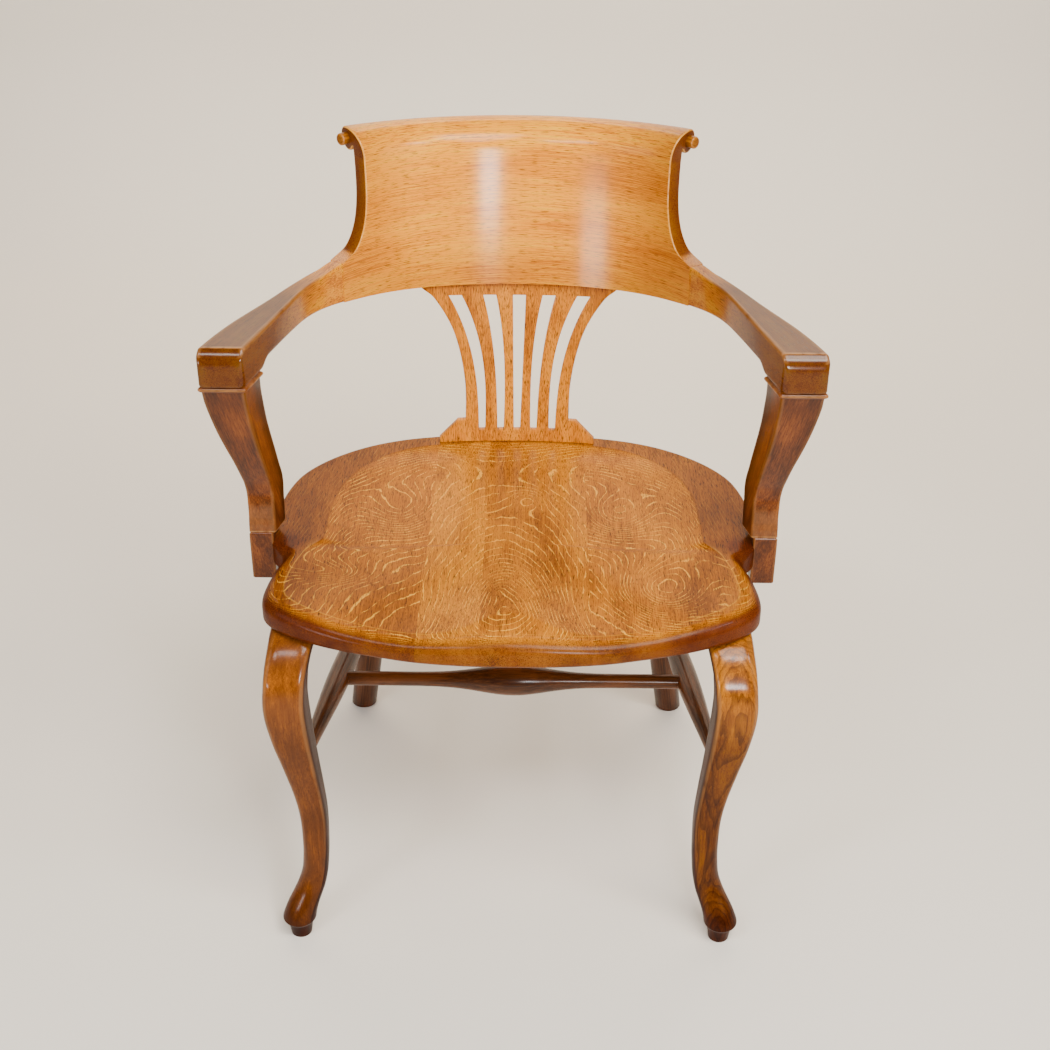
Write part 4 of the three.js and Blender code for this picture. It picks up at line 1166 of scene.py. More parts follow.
    def build(self, shop: Workshop) -> None:
        """Part the seat at its glue lines and dress each board.

        Args:
            shop: what the sub-assemblies share.
        """
        whole = self.shell().object("whole_seat", shop.placing)
        edges = [-2 * self.bulge_x, *self.glue_lines, 2 * self.bulge_x]
        for i, board in enumerate(BOARDS):
            name = f"seat_board_{i + 1}"
            piece = part_between(whole, f"oak_{name}", edges[i] * MM, edges[i + 1] * MM)
            places = np.empty(3 * len(piece.data.vertices))
            piece.data.vertices.foreach_get("co", places)
            places = places.reshape(-1, 3) / MM - np.array([0.0, shop.placing.shift_y, 0.0])
            ledge = np.empty(len(places))
            piece.data.attributes["ledge"].data.foreach_get("value", ledge)
            tilted = self.ledge_tilt * ledge * np.abs(places[:, 0])
            add_layer(piece.data, "figure", board.layers(places) + tilted)
            tint = {"base": board.base, "light": board.light, "phase": board.phase}
            look = replace(SEATING, name=f"{SEATING.name}_{i + 1}", **tint)
            shop.dress(piece, look, name)
        bpy.data.objects.remove(whole)


@dataclass
class FrontLegs:
    """Cabriole legs, square with rounded arrises at the knee and round at the ankle and pad."""

    pad: Pair = (-246.0, -201.0)
    height: float = 408.0
    bend: float = 22.0
    squareness: float = 7.0
    count: int = 96
    # From, to and how many heights, as shares: closest round the pad
    spans: tuple[tuple[float, float, int], ...] = (
        (0.0, 0.07, 30), (0.07, 0.3, 46), (0.3, 0.86, 60), (0.86, 1.0, 40)
    )
    # Share of the height, width, roundness, set in along X and along Y
    stations: tuple[Row, ...] = (
        (0, 24, 1, 0, 0), (0.03, 27.5, 1, 0, 0), (0.046, 30.5, 1, 0, 0),
        (0.053, 34, 1, -0.02, -0.02), (0.06, 38.8, 1, -0.03, -0.03), (0.065, 39, 1, -0.02, -0.02),
        (0.08, 38, 1, 0.05, 0.05), (0.103, 36.5, 1, 0.2, 0.2), (0.13, 34.5, 1, 0.43, 0.43),
        (0.155, 33, 1, 0.63, 0.63), (0.196, 30.5, 1, 0.84, 0.84), (0.245, 30, 0.95, 0.94, 0.94),
        (0.294, 30, 0.85, 0.99, 0.99), (0.395, 30.5, 0.6, 1, 1), (0.483, 32, 0.45, 0.87, 0.87),
        (0.6, 37, 0.35, 0.6, 0.6), (0.706, 42.5, 0.3, 0.35, 0.35), (0.82, 45.5, 0.22, 0.19, 0.19),
        (0.89, 45.5, 0.3, 0.26, 0.38), (0.93, 47, 0.42, 0.36, 0.8), (0.966, 48.6, 0.55, 0.5, 1.35),
        (0.99, 50.6, 0.68, 0.62, 1.9), (1, 50.6, 0.75, 0.66, 2.25),
    )
    # Tone of the foot, the top, the inner side and the sole; on the top under the seat and on the
    # inner side it is painted shade
    tones: Four = (0.5, 0.15, 0.9, 0.3)
    foot_top: float = 80.0
    knee: Pair = (270.0, 375.0)
    under_seat: Pair = (350.0, 405.0)
    sole_top: float = 23.5
    # How near to a corner the arris and the inner side start, as differences of cos and sin
    arris_span: float = 0.16
    inner_edge: Pair = (-0.02, 0.16)
    arris_wear: float = 0.3
    # How brown the left and the right leg are below the knee
    browns: Pair = (0.45, 0.72)

    def centre(self, at: Array) -> Array:
        """Middle of the left leg, pad + bend x what it is set in, at shares of its height."""
        share, _, _, *set_in = (np.array(column, float) for column in zip(*self.stations))
        return self.pad + self.bend * np.stack([along(share, v, at) for v in set_in], axis=-1)

    def shell(self, brown: float) -> Shell:
        """The left leg: at each height a superellipse, radius = half width x (|cos|^n +
        |sin|^n)^(-1/n), whose power n falls to 2 where the leg is round.

        Args:
            brown: how brown it is below the knee.

        Returns:
            The shell.
        """
        share, width, roundness, _, _ = (np.array(column, float) for column in zip(*self.stations))
        at = np.unique(np.concatenate([np.linspace(*span) for span in self.spans]))
        half = along(share, width, at, tame=True)[:, None] / 2
        n = lerp(self.squareness, 2.0, along(share, roundness, at, tame=True))[:, None]
        angle = np.linspace(0, 2 * math.pi, self.count, endpoint=False)
        cos, sin = np.cos(angle), np.sin(angle)
        radius = half * (np.abs(cos) ** n + np.abs(sin) ** n) ** (-1 / n)
        x, y = self.centre(at).T[..., None]
        z = np.broadcast_to((at * self.height)[:, None], radius.shape)
        rings = np.stack([x + radius * cos, y + radius * sin, z], axis=-1)
        corner = (np.abs(np.abs(cos) - np.abs(sin)) < self.arris_span).astype(float)
        corner = corner * (1 - along(share, roundness, at)[:, None])
        foot, top, inner, sole = self.tones
        # Painted shade on the top under the seat and on the inner side
        tone = foot * (1 - ease(z, 0.0, self.foot_top)) + top * ease(z, *self.under_seat)
        tone += inner * ease(cos - np.abs(sin), *self.inner_edge)
        tone += brown * (1 - ease(z, *self.knee))
        tone = np.clip(tone + sole * (z < self.sole_top), 0, 1)
        grain = np.stack([z, rings[..., 0] - self.pad[0], rings[..., 1] - self.pad[1]], axis=-1)
        return Shell.lofted(rings, grain, {"tone": tone, "wear": corner * self.arris_wear})

    def build(self, shop: Workshop) -> None:
        """Both legs; the right one is cut from a yellower piece nearer the heart, its rings bolder.

        Args:
            shop: what the sub-assemblies share.
        """
        left = replace(
            LEGGED, name="polished_leg_oak_left", light="#9a540c", base="#763e0a",
            ring_centre=(60.0, -34.0), ring_strength=0.2,
        )
        right = replace(
            LEGGED, name="polished_leg_oak_right", ring_centre=(8.0, -34.0), ring_strength=0.5,
            phase=5.0,
        )
        shop.show(self.shell(self.browns[0]), "front_leg_left", left)
        shop.show(self.shell(self.browns[1]).mirrored(), "front_leg_right", right)


@dataclass
class RearLegs:
    """Turned legs that splay back and out, cut level at the floor."""

    foot: Three = (-217.0, 245.0, 0.0)
    seat: Three = (-161.0, 172.0, 408.0)
    radii: Row = (17.3, 19.0, 19.0, 14.0)
    shares: Row = (0.0, 0.5, 0.75, 1.0)
    top_share: float = 1.02
    foot_arris: float = 1.2
    tone: float = 0.4
    foot_tone: float = 0.2
    foot_top: float = 60.0

    def shell(self) -> Shell:
        """The left leg: circles along its leaning axis, the lowest slid down it to the floor.

        Returns:
            The shell.
        """
        foot, seat = np.array(self.foot), np.array(self.seat)
        length = np.linalg.norm(seat - foot)
        axis = (seat - foot) / length
        share = np.concatenate([[0.0, 0.004], np.linspace(0.05, self.top_share, 40)])
        radius = along(self.shares, self.radii, share)
        radius[0] -= self.foot_arris
        rings = turned(foot, seat, share * length, radius)
        for ring, level in zip(rings, (0.0, self.foot_arris)):
            ring += axis * ((level - ring[:, 2]) / axis[2])[:, None]
        tone = self.tone + self.foot_tone * (1 - ease(rings[..., 2], 0.0, self.foot_top))
        return Shell.lofted(rings, grain_along(rings, axis), {"tone": tone})

    def build(self, shop: Workshop) -> None:
        """Both legs."""
        shop.show_pair(self.shell(), "rear_leg", DARK)


@dataclass
class Stretchers:
    """Turned rails that join the legs as an H; each swells between its straight ends."""

    front_height: float = 240.0
    rear_share: float = 208.0 / 408.0
    side_radii: Pair = (7.5, 14.0)
    side_curve: float = 1.6
    cross_radii: Pair = (8.7, 19.0)
    cross_y: float = -6.0
    cross_sunk: float = 5.0
    bulge_share: float = 0.15
    straight: float = 24.0

    def swelling(
        self, start: Array, end: Array, radii: Pair, swell_of: Callable[[Array], Array]
    ) -> Shell:
        """Turned rail between two straight ends.

        Args:
            start: middle of one end.
            end: middle of the other end.
            radii: radius of the ends, and of the fullest place.
            swell_of: how full the rail is, 0 to 1, at shares of its length.

        Returns:
            The shell.
        """
        length = float(np.linalg.norm(end - start))
        share = np.linspace(0, 1, 90)
        middle = lerp(self.straight, length - self.straight, share)
        places = np.concatenate([[0.0], middle, [length]])
        radius = lerp(*radii, np.concatenate([[0.0], swell_of(share), [0.0]]))
        rings = turned(start, end, places, radius, 40)
        return Shell.lofted(rings, grain_along(rings, end - start))

    def build(self, shop: Workshop, legs: RearLegs, front_legs: FrontLegs) -> None:
        """Both side stretchers, which swell by a power of a sine, and the cross one, by a Gaussian.

        Args:
            shop: what the sub-assemblies share.
            legs: the rear legs.
            front_legs: the front legs.
        """
        at = np.array([self.front_height / front_legs.height])
        front = np.array([*front_legs.centre(at)[0], self.front_height])
        rear = lerp(np.array(legs.foot), np.array(legs.seat), self.rear_share)
        side = self.swelling(
            front, rear, self.side_radii, lambda s: np.abs(np.sin(s * math.pi)) ** self.side_curve
        )
        shop.show_pair(side, "side_stretcher", DARK)
        meet = lerp(front, rear, (self.cross_y - front[1]) / (rear[1] - front[1]))
        meet[0] += self.cross_sunk
        cross = self.swelling(
            meet, meet * np.array([-1.0, 1.0, 1.0]), self.cross_radii,
            lambda s: np.exp(-(((2 * s - 1) / (2 * self.bulge_share)) ** 2)),
        )
        shop.show(cross, "cross_stretcher", DARK)


@dataclass
class BackPanel:
    """The curved back panel; its crest rolls backwards into a scroll with a boss in each end."""

    bow: Bow
    thickness: float = 20.0
    crest: float = 832.0
    crest_end_rise: float = 9.0
    scroll_height: float = 25.0
    scroll_depth: float = 43.85
    roll_radius: float = 27.0
    joint_lift: float = 3.0
    end_turn: float = 0.14
    arris: float = 1.8
    side_places: Row = (0.0, 0.045, 0.09, 0.18, 0.3, 0.45, 0.6, 0.8, 1.0)
    side_shares: Row = (1.0, 0.93, 0.895, 0.862, 0.84, 0.83, 0.83, 0.836, 0.85)
    boss: Pair = (7.0, 8.0)
    # The arris at the joint is finer, from and to these heights above the arms' top
    joint_arris: float = 0.25
    joint_fade: Pair = (3.0, 14.0)
    arris_wear: float = 0.7
    # Tone at the left and right joint, towards the lower edge, on the ends and behind the crest;
    # the right joint's stronger tone is partly painted shade
    joint_tones: Pair = (0.3, 0.6)
    low_tone: float = 0.25
    end_tone: float = 0.9
    back_tone: float = 0.4
    # Where these start and are full: along the bow, in height, and in depth
    left_fade: Pair = (100.0, 225.0)
    right_fade: Pair = (60.0, 225.0)
    low_fade: Pair = (715.0, 650.0)
    back_fade: Pair = (12.0, 30.0)
    wear_fade: Pair = (704.0, 712.0)

    def side(self, height: Array | float) -> Array:
        """Find the panel's side edge.

        Args:
            height: heights on the panel.

        Returns:
            Distances of the edge there, along the bow.
        """
        foot = self.bow.arm_top + self.joint_lift
        share = (np.asarray(height, float) - foot) / (self.crest - foot)
        return self.bow.joint_at * along(self.side_places, self.side_shares, share)

    def bent_height(self, height: Array, distance: Array) -> Array:
        """Height of a row along the bow: its ends are bent up by the square of the distance."""
        up = np.maximum((height - self.bow.arm_top) / (self.crest - self.bow.arm_top), 0.0)
        return height + up * self.crest_end_rise * (distance / self.side(self.crest)) ** 2

    def profile(self) -> tuple[Array, Array, int]:
        """Go round the panel's section: up the front, a quarter circle over the crest, a half
        circle round the scroll, the throat, and down the back.

        Returns:
            Depths and heights, and how many rows the front face has.
        """
        roll, eye = self.roll_radius, self.scroll_height / 2
        foot = self.bow.arm_top + self.joint_lift
        rows = np.concatenate([
            np.linspace(self.bow.back_bottom, foot, 12)[:-1],
            lerp(foot, self.crest - roll, np.linspace(0, 1, 34) ** 1.4),
        ])
        front = np.column_stack([np.zeros(len(rows)), rows])
        angle = np.linspace(0, math.pi / 2, 15)[1:]
        over = np.column_stack([1 - np.cos(angle), np.sin(angle) - 1]) * roll + [0, self.crest]
        start = self.scroll_depth - eye
        angle = np.linspace(0, math.pi + math.asin((start - self.thickness) / eye), 27)[1:]
        curl = np.column_stack([np.sin(angle), np.cos(angle)]) * eye + [start, self.crest - eye]
        back = np.column_stack([np.full(len(rows), self.thickness), rows[::-1]])
        return *np.vstack([front, over, curl, back]).T, len(rows)

    def shell(self) -> Shell:
        """The panel: its section carried along the bow between its side edges, drawn in by a
        quarter circle at each end to ease the arris.

        Returns:
            The shell.
        """
        depth, height, front_rows = self.profile()
        ahead = np.roll(height, -1) - np.roll(height, 1), np.roll(depth, 1) - np.roll(depth, -1)
        inward = np.stack(ahead) / np.linalg.norm(np.stack(ahead), axis=0)
        top, bottom = self.bow.arm_top, self.bow.back_bottom
        quarter = np.linspace(0, math.pi / 2, 6)
        share = np.concatenate([-np.ones(5), np.linspace(-1, 1, 97), np.ones(5)])
        short, drawn = (
            np.concatenate([end, np.zeros(len(share) - 2 * len(end)), end[::-1]])[:, None]
            for end in (1 - np.cos(quarter), 1 - np.sin(quarter))
        )
        share = share[:, None]
        fade = ease(height, top + self.joint_fade[0], top + self.joint_fade[1])
        arris = self.arris * lerp(self.joint_arris, 1.0, fade)
        d = depth + inward[0] * arris * drawn
        h = height + inward[1] * arris * drawn
        reach = self.side(height) - self.end_turn * np.maximum(depth - self.thickness, 0.0)
        distance = share * reach - np.sign(share) * arris * short
        up = np.clip((h - bottom) / (top - bottom), -0.1, 1)
        low = lerp(self.bow.bottom(distance), np.full_like(distance, top), up)
        lifted = np.where(h < top, low, self.bent_height(h, distance))
        rings = self.bow.place(distance, d, lifted)

        on_arris = (drawn > 0.1) & (drawn < 0.8)
        wear = self.arris_wear * ease(height, *self.wear_fade) * on_arris
        # Darker towards both arms; the right end's stronger tone is partly painted shade
        left, right = self.joint_tones
        tone = left * ease(distance, *self.left_fade) + right * ease(-distance, *self.right_fade)
        in_middle = 1 - ease(np.abs(share), 0.55, 1.0)
        tone += self.low_tone * ease(lifted, *self.low_fade) * in_middle
        on_end = (drawn > 0.97) * ease(height, top, top + 20) > 0.5
        tone = np.where(on_end, self.end_tone + 0.1 * (height > self.crest - 30), tone)
        tone += self.back_tone * ease(d, *self.back_fade) * (lifted < self.crest - 8)
        return Shell(
            rings.reshape(-1, 3),
            self.closed_faces(len(share), len(depth), front_rows),
            np.stack([distance, lifted, d], axis=-1).reshape(-1, 3),
            {"tone": np.clip(tone, 0, 1).ravel(), "wear": wear.ravel()},
        )

    def closed_faces(self, rings: int, count: int, rows: int) -> list[list[int]]:
        """Walls between the rings, and at each end strips from face to face, then the scroll.

        Args:
            rings: how many rings there are.
            count: points in each ring.
            rows: rows on the front face.

        Returns:
            Point numbers of each face.
        """
        walls = grid_faces(rings, count).tolist()
        pairs = [(row, count - 1 - row) for row in range(rows)]
        strips = [[f0, f1, b1, b0] for (f0, b0), (f1, b1) in zip(pairs[:-1], pairs[1:])]
        fill = [*strips, list(range(pairs[-1][0], pairs[-1][1] + 1))]
        base = (rings - 1) * count
        ends = [[face[::-1] for face in fill], [[base + k for k in face] for face in fill]]
        return [*walls, *ends[0], *ends[1]]

    def boss_shell(self) -> Shell:
        """The left boss: a short turned peg with an eased rim and a slightly domed face.

        Returns:
            The shell.
        """
        eye = self.scroll_height / 2
        distance = self.side(np.array([self.crest - eye]))
        height = self.bent_height(np.array([self.crest - eye]), distance)
        start = self.bow.place(distance, self.scroll_depth - eye, height)[0]
        out = self.bow.frame(distance)[1][0]
        radius, length = self.boss
        # Distance from the face, share of the radius, tone and wear
        stations = (
            (-length - 6.0, 1.0, 0.5, 0.0), (-length, 1.0, 0.5, 0.0), (-2.0, 1.0, 0.1, 0.0),
            (-1.1, 0.97, 0.0, 0.4), (-0.4, 0.9, 0.0, 0.4), (0.0, 0.78, 0.1, 0.0),
            (0.0, 0.5, 0.25, 0.0), (0.0, 0.1, 0.3, 0.0),
        )
        places, shares, tone, wear = (np.array(column) for column in zip(*stations))
        rings = turned(start, start + out, length + places, radius * shares, 40)
        marks = {"tone": tone[:, None] * np.ones(40), "wear": wear[:, None] * np.ones(40)}
        return Shell.lofted(rings, grain_along(rings, out), marks)

    def build(self, shop: Workshop) -> None:
        """The panel and its two bosses."""
        shop.show(self.shell(), "back_panel", GOLDEN)
        shop.show_pair(self.boss_shell(), "scroll_boss", LEGGED)


@dataclass
class Splat:
    """Thin pierced board between the seat and the panel, bent to the curve of the back."""

    bow: Bow
    seat_top: float = 440.0
    thickness: float = 8.0
    base: Three = (97.0, 212.5, 6.0)
    head_half: float = 123.0
    panel_thickness: float = 20.0
    waist_half: float = 64.5
    shoulder_half: float = 74.0
    base_rise: float = 7.0
    shoulder_rise: float = 30.0
    top_edge: float = 4.0
    slot_tops: Row = (0.0, 36.5, 78.5)
    slot_bottoms: Row = (0.0, 20.7, 44.0)
    slot_curve: float = 2.7
    slot_widths: Pair = (8.0, 16.0)
    slot_top_gap: float = 16.5
    slot_arch: float = 3.5
    slot_bottom_rise: float = 16.0
    lean: float = 2.7
    sink: float = 3.0
    flare_up: Row = (0, 0.2, 0.34, 0.5, 0.64, 0.75, 0.84, 0.905, 0.96, 1)
    flare_out: Row = (0, 0, 0.04, 0.13, 0.255, 0.41, 0.573, 0.714, 0.9, 1)
    # Tone under the panel, which is a painted shadow of it, and towards the right, and where each
    # starts and is full
    tones: Pair = (0.22, 0.1)
    top_fade: Pair = (625.0, 648.0)
    right_fade: Pair = (20.0, 110.0)
    arris: float = 0.7

    def middle(self, x: Array, z: Array) -> Array:
        """Bend the board: a parabola at the foot and the panel's circle at the head, blended
        straight in height.

        Args:
            x: places across.
            z: heights.

        Returns:
            Y of the middle of the board.
        """
        low = self.base[1] - self.base[2] * (x / self.base[0]) ** 2
        radius = self.bow.radius + self.panel_thickness / 2
        back = self.bow.place(0.0, self.panel_thickness / 2, self.bow.back_bottom)[1]
        high = back - radius + np.sqrt(radius**2 - x**2)
        return lerp(low, high, (z - self.seat_top) / (self.bow.back_bottom - self.seat_top))

    def lines(self, rows: Array, slot_share: Array) -> list[Array]:
        """Lines up the board: the foot's edge, the waist's, both sides of each slot, and back.

        Args:
            rows: height of each row.
            slot_share: how far each row is up the slots.

        Returns:
            X of each line at each row, from left to right.
        """
        foot, shoulder = self.seat_top, self.seat_top + self.shoulder_rise
        flare_top = float(self.bow.bottom(self.head_half)) - self.top_edge
        up = np.clip((rows - shoulder) / (flare_top - shoulder), 0, 1)
        waist = lerp(self.waist_half, self.head_half, along(self.flare_up, self.flare_out, up))
        slope = (rows - foot - self.base_rise) / (self.shoulder_rise - self.base_rise)
        foot_half = lerp(self.base[0], self.shoulder_half, np.clip(slope, 0, 1))
        width = lerp(*self.slot_widths, slot_share)
        lines = [-foot_half, -waist]
        for number in (-2, -1, 0, 1, 2):
            low, high = self.slot_bottoms[abs(number)], self.slot_tops[abs(number)]
            out = np.sign(number) * lerp(low, high, np.maximum(slot_share, 0) ** self.slot_curve)
            lines += [out - width / 2, out + width / 2]
        return [*lines, waist, foot_half]

    def sheet(self) -> tuple[Array, Array]:
        """The middle of the board: rows from foot to head crossed by lines that follow the sides of
        the slots, without the cells of the slots and those beside the waist.

        Returns:
            Points, and the point numbers of each quad.
        """
        foot, head = self.seat_top, self.bow.back_bottom
        slot_low, slot_high = foot + self.slot_bottom_rise, head - self.slot_top_gap
        base, shoulder = foot + self.base_rise, foot + self.shoulder_rise
        levels = (foot, base, slot_low, shoulder, slot_high, head)
        spans = zip(levels[:-1], levels[1:], (4, 5, 6, 50, 14))
        rows = np.concatenate([*(np.linspace(*span)[:-1] for span in spans), [head]])
        slot_share = np.clip((rows - slot_low) / (slot_high - slot_low), 0, 1.12)
        lines = self.lines(rows, slot_share)
        steps = [3] + [5, 4] * 5 + [5, 3]
        strips = np.repeat(np.arange(len(steps)), steps)
        columns = [
            lerp(low, high, k / count)
            for low, high, count in zip(lines[:-1], lines[1:], steps)
            for k in range(count)
        ]
        x = np.stack([*columns, lines[-1]], axis=1)

        row = rows[:, None]
        arch = self.slot_arch * np.minimum(np.abs(x) / self.slot_tops[2], 1.3) ** 2
        edge = self.bow.bottom(x + self.lean) + self.sink
        arched = (row > shoulder) & (row <= slot_high + TINY)
        z = row + arch * ease(row, shoulder, slot_high) * arched
        above = lerp(slot_high + arch, edge, (row - slot_high) / (head - slot_high))
        z = np.where(row > slot_high + TINY, above, z)
        leaned = x + self.lean * (z - foot) / (head - foot)
        points = np.stack([leaned, self.middle(x, z), z], axis=-1).reshape(-1, 3)

        wing = (strips == 0) | (strips == len(steps) - 1)
        slot = (strips % 2 == 0) & ~wing
        middle = ((rows[:-1] + rows[1:]) / 2)[:, None]
        open_ = (wing & (middle > shoulder)) | (slot & (middle > slot_low) & (middle < slot_high))
        quads = grid_faces(*x.shape, closed=False)[~open_.ravel()]
        used, compact = np.unique(quads, return_inverse=True)
        return points[used], compact.reshape(quads.shape)

    def build(self, shop: Workshop) -> None:
        """Thicken the sheet to a board with eased arrises.

        Args:
            shop: what the sub-assemblies share.
        """
        points, quads = self.sheet()
        mesh = bpy.data.meshes.new("oak_back_splat")
        mesh.from_pydata(shop.placing.to_frame(points).tolist(), [], quads.tolist())
        add_layer(mesh, "grain", points[:, [2, 0, 1]] * MM)
        # Painted shadow under the panel, and a tone darker towards the right
        tone = self.tones[0] * ease(points[:, 2], *self.top_fade)
        add_layer(mesh, "tone", tone + self.tones[1] * ease(points[:, 0], *self.right_fade))
        mesh.update()
        obj = link_object("oak_back_splat", mesh)
        thick = obj.modifiers.new("thickness", "SOLIDIFY")
        thick.thickness, thick.offset = self.thickness * MM, 0.0
        bevel = obj.modifiers.new("arris", "BEVEL")
        bevel.width, bevel.segments, bevel.limit_method = self.arris * MM, 2, "ANGLE"
        bevel.angle_limit = math.radians(50)
        shop.dress(obj, SPLATTED, "back_splat")


@dataclass
class Arms:
    """Shaped arms that carry the panel's curve forward and widen to a rounded front end."""

    bow: Bow
    top: float = 700.0
    end_bottom: float = 658.0
    cove: Pair = (404.0, 430.0)
    widths: Pair = (20.0, 46.0)
    widen: Pair = (275.0, 472.0)
    nose: Pair = (21.0, 22.0)
    nose_from: float = math.radians(35.0)
    edge_round: float = 4.5
    # Tone at each joint, as at the panel's ends; the right one's stronger tone is partly painted
    # shade
    joint_tones: Pair = (0.3, 0.6)
    joint_lift: float = 3.0
    lift_run: float = 25.0
    radius: float = 3.2
    count: int = 60
    joint_inset: float = 0.25
    # Wear along the top edges and on the arris over the nose
    edge_wear: float = 0.35
    arris_wear: float = 0.8
    wear_fade: Pair = (260.0, 330.0)
    # How much browner the top is, and where along the arm the browning starts and is full
    top_tone: float = 0.25
    brown_fade: Pair = (235.0, 400.0)
    top_fade: Pair = (229.0, 300.0)

    def bottom(self, distance: Array) -> Array:
        """Underside: the bow's lower edge, which drops through a small cove at the front end."""
        return lerp(self.bow.bottom(distance), self.end_bottom, ease(distance, *self.cove) ** 2)

    def shell(self, joint_tone: float) -> Shell:
        """The left arm: a rounded rectangle carried along the bow; its end is an ellipse's arc from
        a worn arris at the top.

        Args:
            joint_tone: how brown it is where it meets the panel.

        Returns:
            The shell.
        """
        deep, tall = self.nose
        joint, end = self.bow.joint_at, self.bow.end_at
        arc = np.linspace(self.nose_from, math.pi / 2, 15)
        start = end - deep * (1 - math.sin(self.nose_from))
        straight = np.linspace(joint + 4, start - 0.8, self.count)
        straight = np.concatenate([[joint, joint + 0.8], straight])
        place = np.concatenate([straight, end - deep * (1 - np.sin(arc))])
        fall = tall * (math.cos(self.nose_from) - np.cos(arc))
        width = lerp(*self.widths, ease(place, *self.widen))
        lift = self.joint_lift * (1 - ease(place, joint, joint + self.lift_run))
        top = self.top + lift - np.concatenate([np.zeros(len(straight)), fall])
        low = self.bottom(place)
        past = np.clip(place - (end - self.edge_round), 0, self.edge_round)
        inset = self.edge_round - np.sqrt(self.edge_round**2 - past**2)
        inset[0] = self.joint_inset
        section = RoundedSection()
        across, up = section.place(width - 2 * inset, top - low - 0.5 * inset, self.radius)
        depth = width[:, None] / 2 + across
        height = ((top + low) / 2 + 0.25 * inset)[:, None] + up
        skew = math.tan(math.pi / 2 - self.bow.wrap) * ease(place, self.cove[0], start)
        distance = np.broadcast_to(place[:, None], depth.shape)
        _, tangent, _ = self.bow.frame(distance)
        rings = self.bow.place(distance, depth, height)
        rings = rings + tangent * (skew[:, None] * depth)[..., None]
        middle = rings.mean(axis=1, keepdims=True)
        caps = [middle[-1] + (rings[-1] - middle[-1]) * share for share in (0.93, 0.6, 0.25)]
        rings = np.concatenate([rings, caps])

        at = np.concatenate([place, np.full(len(caps), end)])[:, None]
        corner = np.broadcast_to(section.corner_mark(), rings.shape[:2]).copy()
        corner[-len(caps) - 1 :] = 0.0
        z = rings[..., 2]
        wear = self.edge_wear * corner * (z > self.top - 8) * ease(at, *self.wear_fade)
        arris = (np.abs(at - start) < 0.9) & (z > self.top - 2.5)
        wear = np.clip(np.maximum(wear, self.arris_wear * arris), 0, 1)
        above = ease(z, self.top - 5.0, self.top - 1.0)
        tone = lerp(joint_tone, 1.0, ease(at, *self.brown_fade))
        tone = np.clip(tone + self.top_tone * above * ease(at, *self.top_fade), 0, 1)
        chord = rings[self.count].mean(axis=0) - rings[0].mean(axis=0)
        return Shell.lofted(rings, grain_along(rings, chord), {"tone": tone, "wear": wear})

    def build(self, shop: Workshop) -> None:
        """Both arms, each as brown at its joint as the end of the panel there.

        Args:
            shop: what the sub-assemblies share.
        """
        left, right = self.joint_tones
        shop.show(self.shell(left), "arm_left", HANDLED)
        shop.show(self.shell(right).mirrored(), "arm_right", HANDLED)


